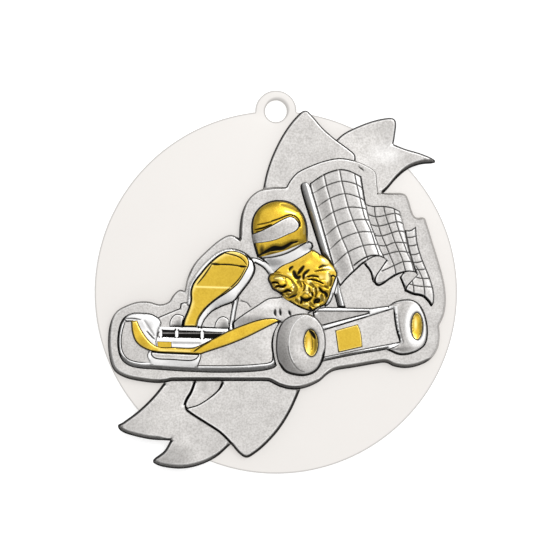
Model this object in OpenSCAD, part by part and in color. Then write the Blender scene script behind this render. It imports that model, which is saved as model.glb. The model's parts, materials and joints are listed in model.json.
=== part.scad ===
// Karting medal: an acrylic disc with an eyelet and a bonded cast emblem.
//
// Frame: the medal lies on its back, face up.
// Origin: centre of the disc's back face.  +Z: out of the face.  +Y: towards the eyelet.
//
// Every relief outline is a short list of points in millimetres on a 70 mm disc, and
// curve() rounds it.  A point is [x, y] where the outline runs smoothly and [x, y, 1]
// where it turns sharply.  A piece that lies behind another is drawn whole and cut back
// by the outline of the piece in front, so neighbours meet face to face.

/* [Disc] */
// Diameter of the acrylic disc; the emblem's outlines scale with it
disc_d = 70; // [50:1:90]
// Thickness of the disc
disc_t = 3; // [2:0.5:5]
// Chamfer around the disc's edge
disc_chamfer = 0.3; // [0.1:0.1:0.5]

/* [Eyelet] */
// Outer diameter of the eyelet lug, centred on the disc's edge
eyelet_d = 8; // [7:0.5:10]
// Diameter of the hole for the neck ribbon's ring
eyelet_hole_d = 4.2; // [3:0.1:5]

/* [Emblem layers] */
// Thickness of the bonding film between the disc and the emblem
film_t = 0.3; // [0.1:0.1:1]
// How far the bonding film stays inside the emblem's edge
film_inset = 1; // [0.5:0.1:2]
// Thickness of the swallow-tailed ribbon ends
tail_t = 1.5; // [1:0.1:2]
// Thickness of the ribbon folds in front of the ends
fold_t = 1.9; // [1.5:0.1:2.3]
// Thickness of the plaque that carries the kart
plaque_t = 2.4; // [2:0.1:4]

/* [Relief heights above the plaque] */
// Flat bodywork and the flag's undersides
low_h = 0.6; // [0.4:0.1:0.8]
// Body panels, leg and far waves of the flag
panel_h = 1.0; // [0.8:0.1:1.2]
// Rails, frames, collar and the flag's front wave
rail_h = 1.3; // [1.1:0.1:1.6]
// Fairing panel, bumper band and driver's body
body_h = 1.6; // [1.4:0.1:2]
// Tyres, arm and helmet
bold_h = 2.1; // [1.8:0.1:2.6]
// Thickness of the pieces laid on others: visor, hubs and number plate
inlay_t = 0.4; // [0.3:0.1:0.6]

/* [Hidden] */
$fn = 96;
drawn_d = 70;
k = disc_d / drawn_d;
curve_steps = 4;
eyelet_y = disc_d / 2;
base_z = disc_t + film_t;
face_z = base_z + plaque_t;

acrylic = "#f3efea";
film = "#e8e8e0";
matt_silver = "#cdcac7";
bright_silver = "#e6e6e6";
gold = "#e2b62f";

// ---------------------------------------------------------------- outlines

function flat(p) = [p[0], p[1]];
function is_corner(p) = len(p) > 2;
function unit(v) = v / max(norm(v), 1e-9);

// A point at t, from 0 to 1, on the cubic from p to q that leaves along s and arrives along e
function cubic(p, q, s, e, t) =
    let (t2 = t * t, t3 = t2 * t)
    (2 * t3 - 3 * t2 + 1) * p + (t3 - 2 * t2 + t) * s
    + (3 * t2 - 2 * t3) * q + (t3 - t2) * e;

// The closed outline through pts, rounded everywhere but at its corners
function curve(pts, steps = curve_steps) =
    let (n = len(pts))
    [
        for (i = [0 : n - 1])
            let (
                a = flat(pts[(i + n - 1) % n]), b = flat(pts[i]),
                c = flat(pts[(i + 1) % n]), d = flat(pts[(i + 2) % n]),
                from_corner = is_corner(pts[i]), to_corner = is_corner(pts[(i + 1) % n]),
                span = norm(c - b),
                s = from_corner ? c - b : unit(c - a) * span,
                e = to_corner ? c - b : unit(d - b) * span,
                count = from_corner && to_corner ? 1 : steps
            )
            for (j = [0 : count - 1]) k * cubic(b, c, s, e, j / count)
    ];

// An ellipse that leans: its top moves by lean towards +X and its foot by lean towards -X
function leaning_ellipse(x, y, rx, ry, lean = 0, count = 40) = [
    for (i = [0 : count - 1])
        let (a = 360 * i / count)
        k * [x + rx * cos(a) + lean * sin(a), y + ry * sin(a)]
];

module outline(pts) { polygon(curve(pts)); }

// A flat piece of thickness t whose underside lies at height z
module slab(z, t) { translate([0, 0, z]) linear_extrude(t) children(); }

// ---------------------------------------------------------------- ribbon

module ribbon_upper_fold_2d() {
    difference() {
        outline([
            [-2.6, 19.4, 1], [-1.8, 23.2], [-0.4, 27.1], [1.8, 31.2], [4.2, 34.2],
            [5.7, 35.1], [7, 34.1], [9, 31.8], [11.6, 29.5], [14.4, 27.4],
            [15.3, 26.4], [15.3, 24.5, 1], [8, 18, 1]
        ]);
        emblem_plaque_2d();
    }
}

module ribbon_upper_tail_2d() {
    difference() {
        outline([
            [11.2, 29, 1], [13, 30.6], [15.5, 31.9], [18.4, 33], [21, 33.6],
            [22.6, 33.6], [23.2, 32.8], [23, 30.4], [22.7, 28.6, 1], [25, 27.7],
            [28, 26.8], [30.6, 25.6], [30.6, 25], [28, 24.7], [25.5, 23.8],
            [23.3, 22], [20.9, 19.3], [19.7, 18.8, 1], [14, 22, 1]
        ]);
        ribbon_upper_fold_2d();
        emblem_plaque_2d();
    }
}

module ribbon_lower_fold_whole_2d() {
    difference() {
        outline([
            [-15.2, -16, 1], [-16.3, -19.2], [-17.4, -21.2], [-17.5, -22.5],
            [-16.6, -23.4], [-13.5, -25.4], [-10.8, -27.2], [-8.6, -29.4],
            [-7.1, -31.1], [-5.7, -31.9], [-4.2, -31.2], [-2, -29.4], [0.6, -26.5],
            [2.7, -23.2], [4.2, -20], [5, -18, 1], [-2, -15, 1]
        ]);
        emblem_plaque_2d();
    }
}

// The back of the ribbon, seen where the fold turns over
module ribbon_lower_return_2d() {
    intersection() {
        outline([
            [-15, -15.5, 1], [-16.6, -17, 1], [-18.2, -21, 1], [-17, -22.2, 1],
            [-15, -21.6], [-12.8, -20.2], [-11.1, -18.6], [-10.2, -16.4, 1]
        ]);
        ribbon_lower_fold_whole_2d();
    }
}

module ribbon_lower_fold_2d() {
    difference() {
        ribbon_lower_fold_whole_2d();
        ribbon_lower_return_2d();
    }
}

module ribbon_lower_tail_2d() {
    difference() {
        outline([
            [-20.6, -16, 1], [-23.3, -19.6], [-26.4, -22.7], [-29.6, -25.1],
            [-30.5, -25.7], [-29.8, -26.8], [-27.4, -27.7], [-24, -28.4],
            [-20.4, -28.6, 1], [-21.6, -30.6], [-23.6, -32.2], [-23.6, -32.9],
            [-21.6, -33.7], [-18, -34], [-14.6, -33.3], [-11.4, -31.7],
            [-8.8, -29.4, 1], [-7, -27, 1], [-14, -15, 1]
        ]);
        ribbon_lower_fold_whole_2d();
        emblem_plaque_2d();
    }
}

// ---------------------------------------------------------------- plaque

module emblem_plaque_2d() {
    outline([
        // over the flag
        [2, 20.3, 1], [2.8, 21.7], [4.2, 23.2], [6.6, 24.4], [9.4, 25.4], [12.4, 25.9],
        [15.2, 25.4], [17.4, 24.5], [19.2, 23.2], [19.5, 21.1], [19.8, 19.1, 1],
        [22.4, 19.2], [24.8, 19], [25.6, 17.8], [26.2, 15.8], [27, 14.5], [28.6, 14.4],
        [29.1, 13.3], [30.2, 9.8], [31.5, 5.6], [32.5, 1.7], [32.8, -1.6],
        [32.4, -4.4], [31.5, -6.4, 1],
        // around the rear wheel and under the side
        [31.6, -8.6], [31.2, -10.9], [29.8, -12.9], [27.6, -14.1], [25.1, -14.6],
        [22.8, -14.3], [21.2, -13.6], [19.6, -13.7], [15, -14.5], [11.4, -15.1],
        [10, -15.8], [8.2, -17.3], [5.4, -18.5], [2.9, -18.7], [0.5, -18.1],
        [-1.3, -17.2], [-2.6, -17.1, 1], [-20, -17.1, 1],
        // around the nose
        [-22.5, -17.5], [-26.4, -17.1], [-29.2, -16.4], [-31.2, -15.1],
        [-32.1, -12.8], [-32.4, -9.4], [-32, -6], [-30.8, -3.7], [-28.8, -2.5],
        [-26.6, -1.8], [-24.4, -1.8], [-22.4, -2.3], [-20.7, -1.8], [-19.8, -0.5],
        [-18.6, 0.5], [-17.6, 0.3, 1],
        // around the fairing and the helmet
        [-17, 3], [-15.6, 5.7], [-13.2, 8.2], [-10.8, 10.2], [-8.8, 11.1],
        [-7.1, 10.5, 1], [-7, 12.9], [-6.5, 15.6], [-5.2, 18.1], [-3.2, 19.7],
        [-0.6, 20.3]
    ]);
}

// ---------------------------------------------------------------- flag

module flag_front_wave_2d() {
    difference() {
        outline([
            [6.5, 21, 1], [8.8, 22.6], [10.6, 23.4], [12.4, 23.8], [14.2, 23.5],
            [16.5, 22.4, 1], [16.9, 19.9], [17.4, 17], [18, 14.2], [19.2, 10.8],
            [20.3, 8], [21.1, 6.4, 1], [20, 6.9], [18.8, 6.8], [17.2, 5.8],
            [15.8, 4.6], [13.8, 2.7], [12.4, 1.1, 1], [11.2, 4.8, 1]
        ]);
        flag_pole_2d();
        driver_torso_2d();
    }
}

module flag_front_underside_2d() {
    difference() {
        outline([
            [16.8, 5.6, 1], [18.8, 7.4, 1], [21.2, 6.8, 1], [21.2, 6.1, 1], [20.2, 4.7],
            [19.3, 3.2], [19, 1.8, 1], [18.6, 2.1], [18.1, 3.9]
        ]);
        flag_front_wave_2d();
        flag_middle_wave_2d();
    }
}

module flag_middle_wave_2d() {
    difference() {
        outline([
            [16.8, 17.2, 1], [18.6, 16.7], [20.6, 16.7], [22.4, 16.4], [23.9, 15.7, 1],
            [24.6, 13.4], [25.1, 11], [25.7, 8.2], [26.4, 5.8], [27.1, 3.8, 1],
            [25.6, 4], [23.8, 3.5], [22, 2.5], [20.6, 1.5], [19.6, 1.2], [18.9, 1.9],
            [19.2, 3.2], [20.2, 4.7], [21.2, 6.2, 1], [19, 9, 1]
        ]);
        flag_front_wave_2d();
    }
}

module flag_middle_underside_2d() {
    difference() {
        outline([
            [23.8, 2.9, 1], [25, 4.4, 1], [27.2, 4.1, 1], [27.2, 3.3, 1], [26.1, 2.3],
            [25, 1], [24.8, 0.3, 1], [24.4, 1.4]
        ]);
        flag_middle_wave_2d();
        flag_end_wave_2d();
    }
}

module flag_end_wave_2d() {
    difference() {
        outline([
            [24.8, 12.1, 1], [25.8, 12], [27, 12.7, 1], [27.3, 9.6], [28.2, 6.5],
            [29.4, 3.6], [30.3, 0.8], [30.5, -1.1], [30, -2.7], [29.3, -1.9],
            [28.2, -0.9], [26.4, -0.5], [24.8, 0.2, 1], [25, 1], [26.1, 2.3],
            [27.2, 3.4, 1], [25, 6, 1]
        ]);
        flag_middle_wave_2d();
    }
}

module flag_pole_2d() {
    difference() {
        outline([
            [4.7, 20.4], [5, 21], [5.7, 21.2], [6.4, 20.9], [7.2, 18.6], [8.3, 14.9],
            [9.7, 10], [11.1, 5], [12.3, 1.2], [13.5, -3, 1], [11.9, -3, 1],
            [10.9, 0.8], [9.5, 5], [7.8, 10], [6.2, 15], [5.2, 18.2]
        ]);
        driver_torso_2d();
        seat_back_2d();
        side_frame_2d();
    }
}

// ---------------------------------------------------------------- driver

module helmet_shell_2d() {
    outline([
        [0.6, 17.85], [2.8, 17.45], [4.6, 16.1], [5.7, 14.3], [6.15, 12.2],
        [6.15, 9.9, 1], [5.2, 9.5], [3.6, 8.8], [1.6, 8], [-1, 7.3], [-3.6, 6.7, 1],
        [-4.2, 8.7], [-4.65, 10.9], [-4.75, 13.2], [-4.2, 15.1], [-3, 16.6],
        [-1.3, 17.55]
    ]);
}

module helmet_visor_2d() {
    intersection() {
        outline([
            [-5, 11.1, 1], [-2.8, 12], [-0.8, 13], [1.4, 14.2], [2.9, 14.7], [4.1, 14],
            [4.6, 12.9], [4, 11.9], [2.3, 11.1], [0, 10.1], [-2.4, 9.6], [-5, 9.4, 1]
        ]);
        helmet_shell_2d();
    }
}

module neck_collar_2d() {
    difference() {
        outline([
            [-3.6, 6.9, 1], [1.8, 8.4, 1], [6.2, 9.9], [7, 9.6], [7.2, 8.7], [6.5, 8],
            [4.9, 7], [3, 6], [1, 5.1], [-0.4, 3.9, 1], [-1.2, 5], [-2.4, 6.1]
        ]);
        helmet_shell_2d();
    }
}

module driver_torso_2d() {
    difference() {
        outline([
            [-0.5, 3.6, 1], [1.4, 7, 1], [6.6, 8.3, 1], [7.4, 8.2], [8.8, 7.2],
            [10.2, 6], [11.2, 4.8], [11.8, 3.6], [11.4, 2.2], [10.8, 0.6],
            [10.3, -1], [9.5, -2.4], [8.2, -3], [6.9, -3.6], [5.2, -3.2], [3.4, -2.3], [1.6, -1.1],
            [0.4, 0.4]
        ]);
        neck_collar_2d();
        driver_arm_2d();
    }
}

module seat_back_2d() {
    difference() {
        outline([
            [11.7, 3.6, 1], [11.7, 2], [11.3, 0.4], [10.9, -1.1], [10.3, -2.2],
            [9.4, -2.9, 1], [9.4, -2, 1], [10.3, -0.4], [10.9, 1.6]
        ]);
        driver_torso_2d();
        side_frame_2d();
    }
}

module driver_arm_2d() {
    outline([
        [-0.4, 3.8], [1.2, 3.7], [2.8, 3], [4, 1.8], [4.4, 0.4], [3.6, -1], [2.4, -1.5],
        [1.4, -0.8], [0.3, 0], [-0.7, 0.6], [-1.2, 1.6], [-1.6, 2.6], [-1.2, 3.5]
    ]);
}

module driver_leg_2d() {
    difference() {
        outline([
            [-8.2, -7, 1], [-8.2, -5.8], [-6.6, -4.4], [-4, -2.7], [-1.4, -1.1],
            [0.4, -0.9], [4, 0, 1], [8, -2, 1], [8.4, -3.2], [6.8, -3.8], [5.4, -4.6],
            [3, -5.4], [0, -6, 1]
        ]);
        driver_torso_2d();
        driver_arm_2d();
        bumper_band_2d();
        front_tyre_2d();
        side_frame_2d();
        rear_floor_2d();
    }
}

// ---------------------------------------------------------------- fairing

module fairing_panel_2d() {
    outline([
        [-18.1, -6.7, 1], [-17.8, -5.2], [-17, -3.2], [-16.5, -1.6], [-16.5, 0.2],
        [-16, 1.8], [-14.7, 3.6], [-12.9, 5.7], [-11, 7.3], [-9.3, 8], [-7.4, 7.9],
        [-5.7, 7], [-5.1, 5.6], [-5.8, 3.9], [-7.3, 1.6], [-9.2, 0], [-11.6, -1.6],
        [-13.4, -3.2], [-14.7, -5], [-15.2, -6.7, 1]
    ]);
}

module fairing_frame_2d() {
    difference() {
        outline([
            [-17.2, -2.4, 1], [-17, -0.4], [-16.8, 1.4], [-15.3, 3.9], [-13.4, 6.1],
            [-11.3, 7.8], [-9.4, 8.5], [-7.3, 8.3], [-5.5, 7.4], [-4.3, 6],
            [-3.9, 4.4], [-4.6, 2.6], [-6.2, 0.4], [-8.1, -1.8], [-10.4, -2.8],
            [-12.3, -3.8], [-13.7, -5.4], [-14.4, -7, 1], [-15.4, -6.7, 1],
            [-16, -3.4, 1]
        ]);
        fairing_panel_2d();
    }
}

module steering_column_2d() {
    difference() {
        outline([
            [-5.6, 7, 1], [-3.6, 6.6], [-2.2, 5.9], [-1.1, 4.9], [-0.2, 3.6, 1],
            [-1.4, 3.4, 1], [-2.6, 4.8], [-4.4, 5.8, 1]
        ]);
        fairing_panel_2d();
        fairing_frame_2d();
        helmet_shell_2d();
        neck_collar_2d();
        driver_arm_2d();
        driver_torso_2d();
    }
}

module fairing_strut_2d() {
    difference() {
        outline([
            [-8.3, -1.9, 1], [-7, -0.8, 1], [-7.6, -3.6], [-8.2, -7.6, 1],
            [-9.2, -7.6, 1], [-8.8, -4.4]
        ]);
        fairing_frame_2d();
        driver_leg_2d();
        bumper_band_2d();
    }
}

// ---------------------------------------------------------------- kart body

// Bodywork on the far side of the kart, seen in front of and behind the fairing
module far_bodywork_2d() {
    difference() {
        outline([
            [-22.8, -4.8, 1], [-18.5, -3, 1], [-18.4, -2.1, 1], [-17.8, -1.9, 1],
            [-16.4, -1.9, 1], [-12, -2.5, 1], [-8.4, -1.9, 1], [-9, -7.2, 1],
            [-16, -6.9, 1], [-22.3, -6.5, 1]
        ]);
        fairing_panel_2d();
        fairing_frame_2d();
        fairing_strut_2d();
        nose_shell_2d();
    }
}

// Two round-topped hoops that stand on the far bodywork
module footwell_hoops_2d() {
    intersection() {
        union() {
            outline([[-20.5, -7, 1], [-20.4, -5.4], [-19.4, -4.2], [-18.2, -4.3],
                     [-17, -5, 1], [-17, -7, 1]]);
            outline([[-11.9, -7.3, 1], [-11.7, -5.9], [-10.9, -4.8], [-9.9, -4.6],
                     [-8.9, -5.3, 1], [-8.9, -7.3, 1]]);
        }
        far_bodywork_2d();
    }
}

module grille_rails_2d() {
    rail = [
        [[-22.4, -6.5, 1], [-8.6, -7, 1], [-8.6, -7.7, 1], [-22.4, -7.2, 1]],
        [[-23.4, -8.5, 1], [-11.5, -8.9, 1], [-14.6, -10.8, 1], [-23, -10.8, 1]]
    ];
    posts = [-22.2, -19.1, -14.2];
    post_w = 0.7;
    difference() {
        union() {
            for (r = rail) outline(r);
            for (x = posts)
                outline([[x - post_w / 2, -7, 1], [x + post_w / 2, -7, 1],
                         [x + post_w / 2, -8.9, 1], [x - post_w / 2, -8.9, 1]]);
        }
        fairing_panel_2d();
        fairing_strut_2d();
        bumper_band_2d();
        bumper_clip_2d();
        nose_shell_2d();
    }
}

// The outer skin of the nose, which frames the panels, the lip and the bumper band
module nose_shell_2d() {
    difference() {
        outline([
            [-29.4, -4.9], [-28.6, -4.3], [-27.4, -3.9], [-25.6, -3.9], [-24, -4.1],
            [-22.6, -4.9], [-22, -5.9], [-22.5, -7], [-22.7, -8.4], [-23, -9.4, 1],
            [-22.8, -11, 1], [-14.6, -11.4, 1], [-7, -8.8, 1], [0.9, -5.6, 1],
            [-0.1, -7.4], [-0.5, -9.6], [-0.3, -12], [0.2, -14.1, 1], [-0.4, -14.6],
            [-2.4, -15.1], [-6, -15.4], [-11, -15.5], [-17, -15.3], [-23, -14.9],
            [-27.2, -14.5], [-29.2, -13.6], [-30.2, -12.1], [-30.6, -9.8],
            [-30.4, -7.4], [-30, -5.9]
        ]);
        nose_left_panel_2d();
        nose_right_panel_2d();
        nose_lip_2d();
        bumper_band_2d();
        front_tyre_2d();
    }
}

module nose_left_panel_2d() {
    difference() {
        outline([
            [-29, -5.7, 1], [-27, -5.6, 1], [-24.6, -10, 1], [-24.5, -11.2, 1],
            [-24.8, -12.2], [-24.3, -13.4, 1], [-26.6, -13.3], [-28.4, -12.7],
            [-29.4, -11.4], [-29.7, -9.6], [-29.5, -7.6]
        ]);
        bumper_band_2d();
    }
}

module nose_right_panel_2d() {
    difference() {
        outline([
            [-14.9, -14, 1], [-14.4, -12.6], [-14.3, -11.2, 1], [-8, -8.5, 1],
            [0.6, -5.7, 1], [-0.5, -7.8], [-0.9, -10], [-0.7, -12.4], [-1, -13.3],
            [-3.2, -13.7], [-8, -14]
        ]);
        bumper_band_2d();
    }
}

module nose_lip_2d() {
    difference() {
        outline([
            [-24, -11.2, 1], [-24, -12.1], [-23.1, -12.8], [-20, -13],
            [-16.6, -13.2], [-15.4, -12.9], [-14.8, -12.2], [-14.8, -11.4, 1]
        ]);
        bumper_band_2d();
    }
}

module bumper_clip_2d() {
    difference() {
        outline([[-22.9, -9.4, 1], [-20.1, -9.5, 1], [-20, -11, 1], [-22.7, -11, 1]]);
        nose_shell_2d();
        bumper_band_2d();
    }
}

module bumper_band_2d() {
    outline([
        [-27.9, -5.5, 1], [-26.7, -5.4, 1], [-25.9, -7.1], [-24.4, -9.2],
        [-22.7, -10.4], [-19.4, -10.5], [-16.2, -10.6], [-14.6, -10.1],
        [-12.2, -8.9], [-9, -7.3], [-6, -6.1], [-3.2, -5.2], [-0.6, -4.9],
        [1, -5.4, 1], [-2, -6.9], [-5.6, -8.7], [-9, -10.1], [-12, -11.1],
        [-14.4, -11.9, 1], [-19, -11.7], [-23.6, -11.4], [-25.6, -10.7],
        [-27, -9.5], [-27.7, -7.7]
    ]);
}

// ---------------------------------------------------------------- wheels

module front_tyre_2d() {
    outline([
        [0, -10], [0.3, -7.6], [1.2, -5.7], [2.6, -4.6], [4.4, -4.1], [6.2, -4.1],
        [7.8, -4.9], [9, -6.5], [9.6, -8.8], [9.5, -11.5], [8.9, -13.7],
        [7.7, -15.3], [5.8, -16.1], [3.6, -16], [1.7, -15.3], [0.6, -13.8],
        [0.1, -12]
    ]);
}

module front_hub_2d() { polygon(leaning_ellipse(6.75, -9.7, 1.45, 2.7, -0.1)); }

module rear_tyre_2d() {
    difference() {
        outline([
            [21.6, -2.6, 1], [22.8, -1.8], [24.4, -1.35], [26.2, -1.4], [27.6, -2.2],
            [28.6, -3.8], [29.2, -6], [29.3, -8.2], [28.8, -10.1], [27.4, -11.3],
            [25.6, -12], [23.8, -12.1], [22.2, -11.5], [20.8, -10.8, 1]
        ]);
        side_frame_2d();
        side_panel_2d();
    }
}

module rear_hub_2d() { polygon(leaning_ellipse(27.15, -6.5, 1.15, 2.7)); }

// ---------------------------------------------------------------- side

module side_panel_2d() {
    outline([
        [9, -7.4, 1], [13, -6.2, 1], [22.6, -3.2, 1], [22.8, -5.4], [23.2, -7.6],
        [23.8, -9.5, 1], [17.5, -10.7, 1], [9, -12.4, 1]
    ]);
}

// Upper rail, end post and lower rail around the side panel
module side_frame_2d() {
    difference() {
        outline([
            [8.4, -6.3, 1], [13, -5.1, 1], [17.8, -3.9, 1], [17.8, -3.8, 1],
            [7.6, -3.7, 1], [8.4, -3], [10, -2.8, 1], [18.2, -3, 1], [21.4, -2.6],
            [23.4, -2.6, 1], [23.5, -4.8], [23.8, -7.2], [24.4, -9.6, 1],
            [22.8, -10.4], [21, -11.1, 1], [15, -12.1, 1], [9.2, -13.3, 1],
            [8.4, -12, 1]
        ]);
        side_panel_2d();
        front_tyre_2d();
        driver_torso_2d();
    }
}

module side_panel_cut_2d() {
    difference() {
        side_panel_2d();
        front_tyre_2d();
    }
}

module number_plate_2d() {
    outline([
        [11.4, -7.3, 1], [15.8, -6.1, 1], [16.4, -7.8], [16.7, -10.5, 1], [12, -11.6, 1]
    ]);
}

module rear_floor_2d() {
    difference() {
        outline([[7.2, -3.7, 1], [18, -3.8, 1], [13, -5.3, 1], [8, -6.6, 1], [7, -4, 1]]);
        side_frame_2d();
        front_tyre_2d();
    }
}

// ---------------------------------------------------------------- solids

module backing_disc() {
    chamfered = disc_t - 2 * disc_chamfer;
    color(acrylic)
    difference() {
        union() {
            for (part = [[0, disc_d], [eyelet_y, eyelet_d]])
                translate([0, part[0], 0]) {
                    cylinder(d1 = part[1] - 2 * disc_chamfer, d2 = part[1], h = disc_chamfer);
                    translate([0, 0, disc_chamfer]) cylinder(d = part[1], h = chamfered);
                    translate([0, 0, disc_t - disc_chamfer])
                        cylinder(d1 = part[1], d2 = part[1] - 2 * disc_chamfer, h = disc_chamfer);
                }
        }
        translate([0, eyelet_y, -1]) cylinder(d = eyelet_hole_d, h = disc_t + 2);
    }
}

module bonding_film() {
    color(film)
    slab(disc_t, film_t)
    intersection() {
        offset(delta = -film_inset)
            union() {
                emblem_plaque_2d();
                ribbon_upper_fold_2d();
                ribbon_upper_tail_2d();
                ribbon_lower_fold_whole_2d();
                ribbon_lower_tail_2d();
            }
        circle(d = disc_d - 2 * film_inset);
    }
}

module ribbon_upper_tail() { color(matt_silver) slab(base_z, tail_t) ribbon_upper_tail_2d(); }
module ribbon_upper_fold() { color(matt_silver) slab(base_z, fold_t) ribbon_upper_fold_2d(); }
module ribbon_lower_tail() { color(matt_silver) slab(base_z, tail_t) ribbon_lower_tail_2d(); }
module ribbon_lower_fold() { color(matt_silver) slab(base_z, fold_t) ribbon_lower_fold_2d(); }
module ribbon_lower_return() { color(matt_silver) slab(base_z, tail_t) ribbon_lower_return_2d(); }
module emblem_plaque() { color(matt_silver) slab(base_z, plaque_t) emblem_plaque_2d(); }

module flag_pole() { color(bright_silver) slab(face_z, rail_h) flag_pole_2d(); }
module flag_front_wave() { color(matt_silver) slab(face_z, rail_h) flag_front_wave_2d(); }
module flag_middle_wave() { color(matt_silver) slab(face_z, panel_h) flag_middle_wave_2d(); }
module flag_end_wave() { color(matt_silver) slab(face_z, panel_h) flag_end_wave_2d(); }
module flag_undersides() {
    color(matt_silver)
    slab(face_z, low_h) {
        flag_front_underside_2d();
        flag_middle_underside_2d();
    }
}

module helmet_shell() { color(gold) slab(face_z, bold_h) helmet_shell_2d(); }
module helmet_visor() { color(bright_silver) slab(face_z + bold_h, inlay_t) helmet_visor_2d(); }
module seat_back() { color(bright_silver) slab(face_z, panel_h) seat_back_2d(); }
module neck_collar() { color(bright_silver) slab(face_z, rail_h) neck_collar_2d(); }
module driver_torso() { color(gold) slab(face_z, body_h) driver_torso_2d(); }
module driver_arm() { color(gold) slab(face_z, bold_h) driver_arm_2d(); }
module driver_leg() { color(bright_silver) slab(face_z, panel_h) driver_leg_2d(); }

module steering_column() { color(bright_silver) slab(face_z, panel_h) steering_column_2d(); }
module fairing_panel() { color(gold) slab(face_z, body_h) fairing_panel_2d(); }
module fairing_frame() { color(bright_silver) slab(face_z, rail_h) fairing_frame_2d(); }
module fairing_strut() { color(bright_silver) slab(face_z, panel_h) fairing_strut_2d(); }

module far_bodywork() { color(matt_silver) slab(face_z, low_h) far_bodywork_2d(); }
module footwell_hoops() {
    color(matt_silver) slab(face_z + low_h, inlay_t) footwell_hoops_2d();
}
module grille_rails() { color(bright_silver) slab(face_z, panel_h) grille_rails_2d(); }
module nose_shell() { color(bright_silver) slab(face_z, rail_h) nose_shell_2d(); }
module nose_left_panel() { color(matt_silver) slab(face_z, panel_h) nose_left_panel_2d(); }
module nose_right_panel() { color(matt_silver) slab(face_z, panel_h) nose_right_panel_2d(); }
module nose_lip() { color(bright_silver) slab(face_z, body_h) nose_lip_2d(); }
module bumper_band() { color(gold) slab(face_z, body_h) bumper_band_2d(); }
module bumper_clip() { color(gold) slab(face_z, rail_h) bumper_clip_2d(); }

module front_tyre() { color(matt_silver) slab(face_z, bold_h) front_tyre_2d(); }
module front_hub() { color(gold) slab(face_z + bold_h, inlay_t) front_hub_2d(); }
module rear_tyre() { color(bright_silver) slab(face_z, body_h) rear_tyre_2d(); }
module rear_hub() { color(gold) slab(face_z + body_h, inlay_t) rear_hub_2d(); }

module side_panel() { color(matt_silver) slab(face_z, panel_h) side_panel_cut_2d(); }
module side_frame() { color(bright_silver) slab(face_z, rail_h) side_frame_2d(); }
module number_plate() { color(gold) slab(face_z + panel_h, inlay_t) number_plate_2d(); }
module rear_floor() { color(matt_silver) slab(face_z, low_h) rear_floor_2d(); }

// ---------------------------------------------------------------- nodes

backing_disc();
bonding_film();
ribbon_upper_tail();
ribbon_upper_fold();
ribbon_lower_tail();
ribbon_lower_fold();
ribbon_lower_return();
emblem_plaque();
flag_pole();
flag_front_wave();
flag_middle_wave();
flag_end_wave();
flag_undersides();
helmet_shell();
helmet_visor();
neck_collar();
driver_torso();
driver_arm();
driver_leg();
seat_back();
steering_column();
fairing_panel();
fairing_frame();
fairing_strut();
far_bodywork();
footwell_hoops();
grille_rails();
nose_shell();
nose_left_panel();
nose_right_panel();
nose_lip();
bumper_band();
bumper_clip();
front_tyre();
front_hub();
side_panel();
side_frame();
number_plate();
rear_floor();
rear_tyre();
rear_hub();
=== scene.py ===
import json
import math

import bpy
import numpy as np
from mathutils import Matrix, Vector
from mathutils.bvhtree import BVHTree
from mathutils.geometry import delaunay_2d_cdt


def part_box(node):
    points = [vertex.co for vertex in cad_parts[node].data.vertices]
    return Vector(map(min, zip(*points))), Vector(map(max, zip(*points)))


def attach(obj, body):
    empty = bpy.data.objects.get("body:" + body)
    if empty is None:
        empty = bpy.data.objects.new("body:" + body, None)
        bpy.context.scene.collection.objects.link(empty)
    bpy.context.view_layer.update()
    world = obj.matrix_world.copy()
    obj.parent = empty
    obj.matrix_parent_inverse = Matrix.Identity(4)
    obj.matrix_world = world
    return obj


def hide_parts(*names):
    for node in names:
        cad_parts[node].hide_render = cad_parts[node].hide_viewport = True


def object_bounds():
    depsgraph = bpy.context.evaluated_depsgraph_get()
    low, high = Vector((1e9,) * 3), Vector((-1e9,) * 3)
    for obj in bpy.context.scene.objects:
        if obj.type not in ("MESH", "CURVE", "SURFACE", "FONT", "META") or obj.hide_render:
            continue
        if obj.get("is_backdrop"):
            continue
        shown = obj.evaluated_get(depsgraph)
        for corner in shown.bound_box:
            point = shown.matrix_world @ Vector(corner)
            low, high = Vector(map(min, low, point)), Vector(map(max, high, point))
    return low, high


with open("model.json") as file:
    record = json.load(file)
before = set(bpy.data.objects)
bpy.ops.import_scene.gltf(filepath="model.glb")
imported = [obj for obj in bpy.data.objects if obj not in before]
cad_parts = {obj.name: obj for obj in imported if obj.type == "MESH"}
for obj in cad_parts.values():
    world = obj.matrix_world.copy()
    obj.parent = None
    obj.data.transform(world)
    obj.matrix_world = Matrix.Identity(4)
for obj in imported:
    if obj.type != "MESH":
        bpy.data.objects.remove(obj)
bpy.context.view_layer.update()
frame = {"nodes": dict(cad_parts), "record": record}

# Looks of a karting medal: an off-white acrylic disc with a cast silver and gold emblem.
#
# Every CAD node is a flat slab with the outline of one element.  relief() turns such a
# slab into a carved element with the same outline and the same greatest height: drafted
# walls, rolled edges, a crown where the element is round, and engraved lines.
# Lengths below are millimetres in the CAD's frame until a mesh is written in metres.

MM = 0.001


# ---- small helpers

def smoothstep(low, high, x):
    t = np.clip((x - low) / (high - low), 0.0, 1.0)
    return t * t * (3 - 2 * t)


def unit(v):
    return v / np.maximum(np.linalg.norm(v, axis=-1, keepdims=True), 1e-12)


LINE_STEP = 0.15


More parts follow.
